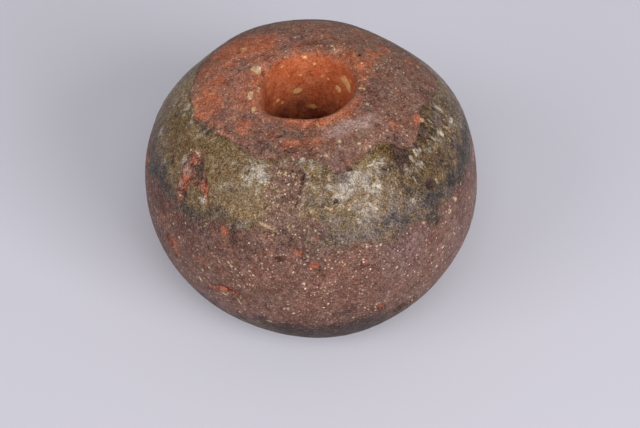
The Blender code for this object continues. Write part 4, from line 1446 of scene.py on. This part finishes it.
hole_colour = mix(web, mottled(3.4, 4.0, 0.24), HOLE_ORANGE, HOLE_RUST)
uneven_depth = plus(mask("hole_depth"), times(mottled(5.0, 4.0), 9.0))
hole_colour = cover(hole_colour, HOLE_BROWN, rise(web, uneven_depth, *BROWN_DEPTHS))
uneven_depth = plus(mask("hole_depth"), times(mottled(3.0, 4.0), 2.0))
hole_colour = mix(web, rise(web, uneven_depth, *LIP_DEPTHS), LIP_CLAY, hole_colour)
in_hole = frayed_mask("into_hole", 2.0, 0.25, 0.05, 0.15, 0.95)
colour = cover(colour, hole_colour, in_hole)
print("nodes with the hole:", len(web.nodes))

# %% [markdown]
# Crushed stone, shell and old pot show in the clay as pale, cream and red grains, and where
# grains fell out there are pores. Each kind is the speckles group at its own spacing and size.
# There are fewer of them in the hole, and fewer pale ones on the smoother top.

# %% Grains in the clay
PALE_GRAIN = paint(222, 182, 158)
CREAM_GRAIN = paint(232, 208, 176)
POT_GRAIN = paint(176, 108, 84)
PORE = paint(58, 38, 32)

fine_grains = grains(0.95, 0.28, 0.46, 0.4)
fine_pores = grains(1.15, 0.28, 0.42)
cream_grains = grains(1.7, 0.34, 0.32, 1.1)
pot_grains = grains(3.0, 0.50, 0.20)
coarse_pores = grains(2.1, 0.34, 0.30)
out_of_bore = without(times(in_hole, 0.80))
gathered = rise(web, mottled(9.0, 2.0, 0.25), 0.0, 1.0, 0.28, 0.95)
more_on_wall = rise(web, on_wall, 0.0, 1.0, 0.70, 1.0)
colour = cover(colour, PORE, fine_pores, out_of_bore, 0.32)
colour = cover(colour, PALE_GRAIN, fine_grains, gathered, out_of_bore, more_on_wall)
colour = cover(colour, PORE, coarse_pores, out_of_bore, 0.70)
colour = cover(colour, POT_GRAIN, pot_grains, 0.50)
more_on_wall = rise(web, on_wall, 0.0, 1.0, 0.35, 0.80)
colour = cover(colour, CREAM_GRAIN, cream_grains, more_on_wall, out_of_bore)
print("nodes with the grains:", len(web.nodes))

# %% [markdown]
# Soot darkens the lowest part. It lies on the clay and its grains as a thin grey film, so it
# multiplies the colour.

# %% Soot
SOOT_FILM = paint(127, 121, 124)

sooty = frayed_mask("soot", 4.0, 0.30, 0.20, 0.05, 1.05)
colour = cover(colour, SOOT_FILM, sooty, way="MULTIPLY")
print("nodes with the soot:", len(web.nodes))

# %% [markdown]
# ## The ash glaze
#
# The glaze is thin and uneven, golden and grey in fine grains, a rich olive where it is thick,
# and it ran down a little, so part of its mottling is drawn out downward. To stretch noise down
# the wall without a seam, each place is first moved out to a cylinder around the hole, and its
# height is made less, by the same measures as for the ribs.

# %% Mottling that runs down the wall
parts = add_node(web, "ShaderNodeSeparateXYZ", {0: here}).outputs
flat_place = add_node(web, "ShaderNodeCombineXYZ", {0: parts[0], 1: parts[1]}).outputs[0]
outward_way = vector_work(web, "NORMALIZE", flat_place)
on_cylinder = vector_work(web, "SCALE", outward_way, Scale=CYLINDER_RADIUS)
drop = add_node(web, "ShaderNodeCombineXYZ", {2: times(parts[2], RUN_STRETCH)}).outputs[0]
run_place = vector_work(web, "ADD", on_cylinder, drop)
runs = mottled(1.7, 4.0, 0.18, where=run_place)
print("runs are drawn out", round(1 / RUN_STRETCH, 1), "times")

# %% Where the glaze shows
upper = torn("upper_edge", 1.6, 1.8)
lower = plus(torn("lower_edge", 2.6, 6.5), times(finest, 3.5))
worn_edge = plus(torn("worn", 2.4, 4.0), times(finest, 2.5))
crisp = rise(web, upper, -0.15, 0.25)
faded = rise(web, lower, -1.8, 2.0)
bared = rise(web, worn_edge, -1.2, 1.4)
glazed = times(crisp, faded, without(times(bared, 0.88)))
print("nodes with the borders of the glaze:", len(web.nodes))

# %% The glaze's own colours
GOLDEN_OLIVE = paint(124, 93, 52)
GREY_OLIVE = paint(130, 107, 75)
RICH_OLIVE = paint(104, 78, 34)
DEEP_OLIVE = paint(64, 50, 32)
PALE_FLECK = paint(204, 184, 148)
GLAZE_PIT = paint(48, 37, 28)
LILAC = paint(126, 111, 106)
UMBER = paint(78, 50, 38)

glaze_colour = mix(web, mottled(3.0, 5.0), GOLDEN_OLIVE, GREY_OLIVE)
thick = frayed_mask("olive", 3.0, 0.7, 0.2, 0.15, 0.95)
glaze_colour = cover(glaze_colour, RICH_OLIVE, thick, 0.85)
lilac = frayed_mask("lilac", 2.0, 0.5, 0.2, 0.15, 1.0)
glaze_colour = cover(glaze_colour, LILAC, lilac, 0.80)
glaze_colour = cover(glaze_colour, DEEP_OLIVE, runs, 0.36)
glaze_pits = grains(0.90, 0.23, 0.40)
uneven = rise(web, mottled(5.0, 3.0), 0.0, 1.0, 0.35, 1.0)
glaze_colour = cover(glaze_colour, GLAZE_PIT, glaze_pits, uneven, 0.52)
glaze_flecks = grains(0.88, 0.22, 0.38, 0.4)
glaze_colour = cover(glaze_colour, PALE_FLECK, glaze_flecks, uneven, 0.64)
print("nodes with the glaze's own colours:", len(web.nodes))

# %% [markdown]
# At the right the thick glaze stands in ribs. Between them it is dark and glassy, and on them
# it is broken into cream flecks. Both are read from the place that is drawn out downward.

# %% Ribs of thick glaze
CREAM_ASH = paint(214, 200, 168)

ruggedness = mask("rugged")
furrows = times(rise(web, mottled(1.7, 5.0, 0.14, where=run_place), 0.50, 0.20), ruggedness)
glaze_colour = cover(glaze_colour, UMBER, furrows, 0.80)
rib_flecks = times(grains(1.6, 0.50, 0.17, 1.4, where=run_place), ruggedness)
glaze_colour = cover(glaze_colour, CREAM_ASH, rib_flecks, 0.60)
print("nodes with the ribs:", len(web.nodes))

# %% [markdown]
# In some places the glaze stayed cloudy and pale, with cream flecks, and these pale clouds also
# carry painted sheen where the lights would shine on the glaze. Its lower border is a dark grey
# rim, where the ash only just began to melt, and a dark line follows its upper edge: painted
# shadow of the step where the glaze broke off. Where the rim is darkest, the clay beside it is
# darkened too, and at the far left the same dark mask is painted shade.

# %% Pale clouds with painted sheen, dark rims, painted shade and the painted shadow line
PALE_CLOUD_AND_SHEEN = paint(190, 182, 166)
LILAC_CLOUD_AND_SHEEN = paint(180, 168, 162)
DARK_RIM = paint(49, 43, 43)
RIM_FLECK = paint(108, 96, 90)
EDGE_SHADOW_LINE = paint(56, 46, 42)
DARKENING_AND_SHADE = paint(150, 148, 154)

# Painted sheen: the pale clouds are partly milky glaze and partly the lights' sheen painted into
# the colour
cloudy_and_sheen = frayed_mask("pale", 1.9, 0.8, 0.5, 0.20, 1.15)
cloud_and_sheen_colour = mix(web, mottled(4.0, 4.0), PALE_CLOUD_AND_SHEEN, LILAC_CLOUD_AND_SHEEN)
glaze_colour = cover(glaze_colour, cloud_and_sheen_colour, cloudy_and_sheen, 0.75)
cream_flecks = times(grains(1.0, 0.32, 0.50, 0.5), cloudy_and_sheen)
glaze_colour = cover(glaze_colour, CREAM_ASH, cream_flecks, 0.50)
opened = frayed_mask("umber", 1.3, 0.7, 0.5, 0.25, 0.85)
glaze_colour = cover(glaze_colour, UMBER, opened, 0.85)

rim_colour = mix(web, times(mottled(0.7, 3.0, 0.25), 0.6), DARK_RIM, RIM_FLECK)
rim = times(rise(web, lower, -1.2, 0.4), rise(web, lower, 5.5, 1.5))
rim = times(rim, rise(web, mottled(6.0), 0.0, 0.6, bottom=0.35), without(mask("vague")))
# Dark glaze, painted shade at the far left, and a painted shadow line on the upper edge at the left
dark_glaze_and_shade = frayed_mask("dark", 2.2, 0.6, 0.32, 0.12, 1.05)
rim = either(rim, dark_glaze_and_shade)
glaze_colour = cover(glaze_colour, rim_colour, rim, 0.82)

# Painted shadow: a dark line along the upper edge, where the glaze broke off in a step
edge_shadow_line = times(rise(web, upper, 1.0, 0.25), mottled(4.0), without(mask("vague")))
glaze_colour = cover(glaze_colour, EDGE_SHADOW_LINE, edge_shadow_line, 0.60)
colour = cover(colour, glaze_colour, glazed)
# Under the dark mask clay and glaze are darkened; at the far left this is painted shade
colour = cover(colour, DARKENING_AND_SHADE, dark_glaze_and_shade, 0.85, way="MULTIPLY")
print("nodes with the clouds and rims:", len(web.nodes))

# %% [markdown]
# ## Worn and broken places
#
# Where the glaze wore through at the front, the clay is rough, mauve-brown and full of golden
# grains, which spread into the glaze around it. The strip of the lip that was rubbed smooth is
# less rough, and is painted greyer as a painted sheen.

# %% The worn patch, golden grains and the painted sheen on the rubbed strip
WORN_MAUVE = paint(126, 93, 78)
GOLD = paint(174, 138, 98)
PALE_GOLD = paint(200, 172, 134)
RUBBED_SHEEN_GREY = paint(194, 164, 158)
CREVICE = paint(46, 28, 22)

worn_place = times(bared, crisp)
colour = cover(colour, WORN_MAUVE, worn_place, 0.85)
golden = either(times(worn_place, 0.42), mask("gold"))
golden = times(rise(web, frayed(golden, 2.0, 0.5, 0.3), 0.15, 0.80), crisp)
colour = cover(colour, CREVICE, mottled(1.9, 4.0, 0.12), worn_place, 0.42)
colour = cover(colour, GLAZE_PIT, mottled(1.6, 4.0, 0.14), golden, 0.50)
colour = cover(colour, PORE, grains(1.6, 0.46, 0.50, 1.6), worn_place, 0.60)
gold_grains = times(grains(1.3, 0.50, 0.85, 2.8), golden)
gold_colour = mix(web, mottled(1.6), GOLD, PALE_GOLD)
colour = cover(colour, gold_colour, gold_grains, 0.85)
worn_flecks = times(grains(1.0, 0.26, 0.50, 0.5), worn_place)
colour = cover(colour, CREAM_GRAIN, worn_flecks, 0.60)
# Painted sheen: the rubbed strip is painted a lighter grey, as a highlight of the lights
polished_and_sheen = frayed_mask("rubbed_sheen", 2.6, 0.7, 0.4, 0.15, 1.15)
colour = cover(colour, RUBBED_SHEEN_GREY, polished_and_sheen, 0.52)
print("nodes with the worn places:", len(web.nodes))

# %% [markdown]
# Inside the gouge the clay is fresh: dull red, with dark crevices. The pits elsewhere are a
# darker red-brown.

# %% Broken clay
FRESH_RED = paint(141, 82, 64)
PINK_SCAR = paint(156, 112, 92)
PIT_RED = paint(86, 48, 38)

in_pit = rise(web, torn("broken", 0.9, 1.3), 0.20, 0.80)
in_gouge = rise(web, torn("gouged", 0.9, 1.3), -0.30, 0.20)
fresh = mix(web, mottled(2.0, 4.0, 0.16), FRESH_RED, PINK_SCAR)
fresh = cover(fresh, CREVICE, mottled(1.3, 4.0, 0.12), 0.60)
colour = cover(colour, PIT_RED, in_pit, 0.70)
colour = cover(colour, fresh, in_gouge)
print("nodes with the broken clay:", len(web.nodes))

# %% [markdown]
# ## Stones, marks, pits and cracks
#
# The larger stones, marks, pits and cracks have a place of their own on the mesh. Their edges
# are cut crisp here, finer than the mesh could draw them. Each line of the table is a mask's
# name, the size and height of its torn edge, how softly it is cut, how strongly it covers, and
# its two colours.

# %% Single stones, marks, pits and cracks
WHITE_STONE = paint(216, 194, 162)
OCHRE_STONE = paint(196, 154, 98)
RED_STONE = paint(190, 96, 70)
EMBER = paint(182, 98, 66)
EMBER_RED = paint(150, 80, 60)
GLASSY = paint(50, 46, 46)
# Painted light: the stones in the hole are painted brighter than those outside, to make up for the
# shade of the hole
LIT_HOLE_STONE = paint(250, 198, 134)
LIT_HOLE_OCHRE = paint(228, 162, 98)
OWN_PLACES = {
    "scars": (1.0, 0.8, 0.60, 0.85, PINK_SCAR, LILAC),
    "islands": (1.0, 1.4, 0.40, 0.85, GLASSY, DARK_RIM),
    "embers": (0.8, 1.3, 0.50, 0.85, EMBER, EMBER_RED),
    "ochre": (0.7, 1.0, 0.45, 0.75, GOLD, PALE_GOLD),
    "cream": (0.6, 1.0, 0.35, 0.80, WHITE_STONE, CREAM_ASH),
    "white_stones": (0.7, 1.3, 0.35, 0.85, WHITE_STONE, OCHRE_STONE),
    "hole_stones": (0.7, 0.9, 0.45, 0.90, LIT_HOLE_STONE, LIT_HOLE_OCHRE),
    "red_stones": (0.8, 1.2, 0.45, 0.85, RED_STONE, EMBER_RED),
    "pits": (0.7, 1.0, 0.40, 0.85, CREVICE, PIT_RED),
    "cracks": (0.9, 1.7, 0.45, 0.85, CREVICE, UMBER),
}
CUT_FROM = -0.05

own = {}
for name, (size, tear, softness, strength, first, second) in OWN_PLACES.items():
    own[name] = rise(web, torn(name, size, tear), CUT_FROM, softness)
    own_colour = mix(web, mottled(1.3, 4.0), first, second)
    colour = cover(colour, own_colour, own[name], strength)
print("kinds of stones, marks, pits and cracks:", len(own))

# %% [markdown]
# Whole areas are made a little duller or brighter, whatever lies on them. Each is one soft mask:
# one multiplies the colour by a light grey, and one adds a dim brown. On the left wall of the
# hole the duller mask is painted shade.

# %% Duller and brighter areas
DULLER = paint(204, 203, 206)
BRIGHTER = paint(58, 50, 38)

for name, film, way in (("duller", DULLER, "MULTIPLY"), ("brighter", BRIGHTER, "ADD")):
    area = frayed_mask(name, 3.0, 0.40, 0.20, 0.05, 1.10)
    colour = cover(colour, film, area, way=way)
print("nodes with the duller and brighter areas:", len(web.nodes))

# %% [markdown]
# Seen close, every finish is gritty. The grit group makes the colour lighter and darker over
# everything, at two fine sizes and a broad one. The fine grit is a little stronger in the
# glaze, and weaker in the hole.

# %% Grit over all of it
FINE_GRIT = ((0.42, 0.082), (1.6, 0.036))   # size and strength
BROAD_GRIT = (5.0, 0.024)

grit_share = times(rise(web, glazed, 0.0, 1.0, 1.0, 1.3), without(times(in_hole, 0.45)))
for size, strength in FINE_GRIT:
    colour = gritty(colour, size, times(grit_share, strength))
colour = gritty(colour, *BROAD_GRIT)
print("nodes so far:", len(web.nodes))

# %% [markdown]
# ## Gloss and fine relief
#
# The glaze shines where it is thick, the clay is dull with a slight polish from handling, and
# broken clay is dry. The fine relief is a height in millimetres: grains stand up, pores and
# pits go in, and the glaze smooths most of it over.

# %% Roughness
CLAY_ROUGHNESS = (0.50, 0.66)
GLAZE_ROUGHNESS = (0.26, 0.60)
HOLE_ROUGHNESS = 0.80
POLISHED_ROUGHNESS = 0.42
BROKEN_ROUGHNESS = 0.85


def blend(share, first, second):
    """The first value, or the second, or what lies between them. On a Mix node, inputs 2 and
    3 and output 0 are the ones for plain values."""
    made = add_node(web, "ShaderNodeMix", {0: share, 2: first, 3: second}, data_type="FLOAT")
    return made.outputs[0]


dull = blend(mottled(2.0, 4.0), *CLAY_ROUGHNESS)
dull = blend(in_hole, dull, HOLE_ROUGHNESS)
shiny = blend(mottled(1.0, 4.0), *GLAZE_ROUGHNESS)
roughness = blend(glazed, dull, shiny)
roughness = blend(times(polished_and_sheen, 0.8), roughness, POLISHED_ROUGHNESS)
roughness = blend(either(in_gouge, in_pit), roughness, BROKEN_ROUGHNESS)
print("glaze roughness from and to:", GLAZE_ROUGHNESS)

# %% Fine relief, in millimetres
FINEST_HEIGHTS = (0.080, 0.050)             # outside and in the hole
CLAY_HEIGHTS = (
    (fine_grains, 0.050), (cream_grains, 0.080), (fine_pores, -0.090), (coarse_pores, -0.150),
)
GLAZE_LEVEL = 0.05
GLAZE_HEIGHTS = (
    (centred(mottled(0.9, 4.0, 0.3)), 0.150), (glaze_pits, -0.100), (cream_flecks, 0.060),
    (rib_flecks, 0.200), (furrows, -0.250),
)
MARK_HEIGHTS = (
    (gold_grains, 0.090), (own["cream"], 0.100), (either(own["pits"], own["cracks"]), -0.220),
)


def stack(heights):
    """Each mask times its height, added up."""
    return plus(*(times(shape, height) for shape, height in heights))


finest_height = times(finest, rise(web, in_hole, 0.0, 1.0, *FINEST_HEIGHTS))
clay_height = plus(finest_height, stack(CLAY_HEIGHTS))
glaze_height = plus(stack(GLAZE_HEIGHTS), GLAZE_LEVEL)
fine_relief = times(clay_height, without(times(glazed, 0.70)))
fine_relief = plus(fine_relief, times(glaze_height, glazed), stack(MARK_HEIGHTS))
bump = add_node(web, "ShaderNodeBump", {"Strength": 1.0, "Distance": MM, "Height": fine_relief})
print("heights laid over each other:", len(CLAY_HEIGHTS + GLAZE_HEIGHTS + MARK_HEIGHTS))

# %% The finished shader
COAT_WEIGHT = 0.08
COAT_ROUGHNESS = 0.24
SPECULAR_LEVEL = 0.28

feed(web, shader.inputs["Base Color"], colour)
feed(web, shader.inputs["Roughness"], roughness)
feed(web, shader.inputs["Coat Weight"], times(glazed, without(times(cloudy_and_sheen, 0.6)), COAT_WEIGHT))
feed(web, shader.inputs["Normal"], bump.outputs["Normal"])
shader.inputs["Coat Roughness"].default_value = COAT_ROUGHNESS
shader.inputs["Specular IOR Level"].default_value = SPECULAR_LEVEL
sinker.data.materials.append(clay)
print("the clay has", len(web.nodes), "nodes")

# %% [markdown]
# ## The room
#
# The sinker stands on a plain pale floor under three large soft lights: a broad one above the
# front, one at the front right and a weaker one at the front left, with a little soft light
# from all around. An area light aims along its own -Z, so it is turned until that points at
# the sinker.

# %% Floor
FLOOR_SIZE = 6.0                # metres
FLOOR_COLOUR = paint(212, 210, 220)
FLOOR_ROUGHNESS = 0.9

floor_mesh = bpy.data.meshes.new("floor")
half = FLOOR_SIZE / 2
floor_mesh.from_pydata([(-half, -half, 0), (half, -half, 0), (half, half, 0), (-half, half, 0)],
                       [], [(0, 1, 2, 3)])
floor = add_object("floor", floor_mesh)
floor_paint = bpy.data.materials.new("pale_floor")
floor_paint.use_nodes = True
floor_shader = floor_paint.node_tree.nodes["Principled BSDF"]
floor_shader.inputs["Base Color"].default_value = FLOOR_COLOUR
floor_shader.inputs["Roughness"].default_value = FLOOR_ROUGHNESS
floor_mesh.materials.append(floor_paint)
print("floor:", FLOOR_SIZE, "m wide")

# %% Lights
SOFT_LIGHTS = {
    # azimuth, elevation, distance and width in metres, power in watts
    "soft_light_above": (0, 50, 2.20, 1.40, 19.0),
    "soft_light_right": (42, 28, 1.77, 0.95, 20.3),
    "soft_light_left": (-55, 32, 2.40, 1.34, 16.1),
}
ROOM_COLOUR = (0.95, 0.95, 0.97, 1.0)
ROOM_STRENGTH = 0.26

for name, (at_azimuth, at_elevation, distance, width, power) in SOFT_LIGHTS.items():
    lamp = bpy.data.lights.new(name, "AREA")
    lamp.shape = "SQUARE"
    lamp.size = width
    lamp.energy = power
    light = add_object(name, lamp)
    way = Vector(direction(float(at_azimuth), float(at_elevation)))
    light.location = way * distance + Vector((0, 0, BASE_DROP * MM))
    light.rotation_euler = (-way).to_track_quat("-Z", "Y").to_euler()

world = bpy.data.worlds.new("soft_room")
world.use_nodes = True
room = world.node_tree.nodes["Background"]
room.inputs["Color"].default_value = ROOM_COLOUR
room.inputs["Strength"].default_value = ROOM_STRENGTH
bpy.context.scene.world = world
bpy.context.scene.view_settings.view_transform = "Standard"
print("lights:", len(SOFT_LIGHTS))

# %% [markdown]
# ## The camera
#
# The sinker is seen from the front, looking down at 48 degrees, through a 75 mm lens about
# 0.4 m away. The camera looks straight at a point beside the ball's centre, so that the ball
# stands a little left of the middle and above it.

# %% Camera
LOOK_DOWN = 48.0                # degrees below level
LENS = 75.0
NEAREST_SEEN = 10.0
CAMERA_PLACE = np.array([2.68, -280.3, 330.3])

lens = bpy.data.cameras.new("camera")
lens.lens = LENS
lens.clip_start = NEAREST_SEEN * MM
camera = add_object("camera", lens)
camera.location = CAMERA_PLACE * MM
camera.rotation_euler = (np.radians(90 - LOOK_DOWN), 0, 0)
bpy.context.scene.camera = camera
print("camera at, in mm:", CAMERA_PLACE)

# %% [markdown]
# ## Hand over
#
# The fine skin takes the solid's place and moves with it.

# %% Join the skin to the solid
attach(sinker, "root")
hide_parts("sinker_body")
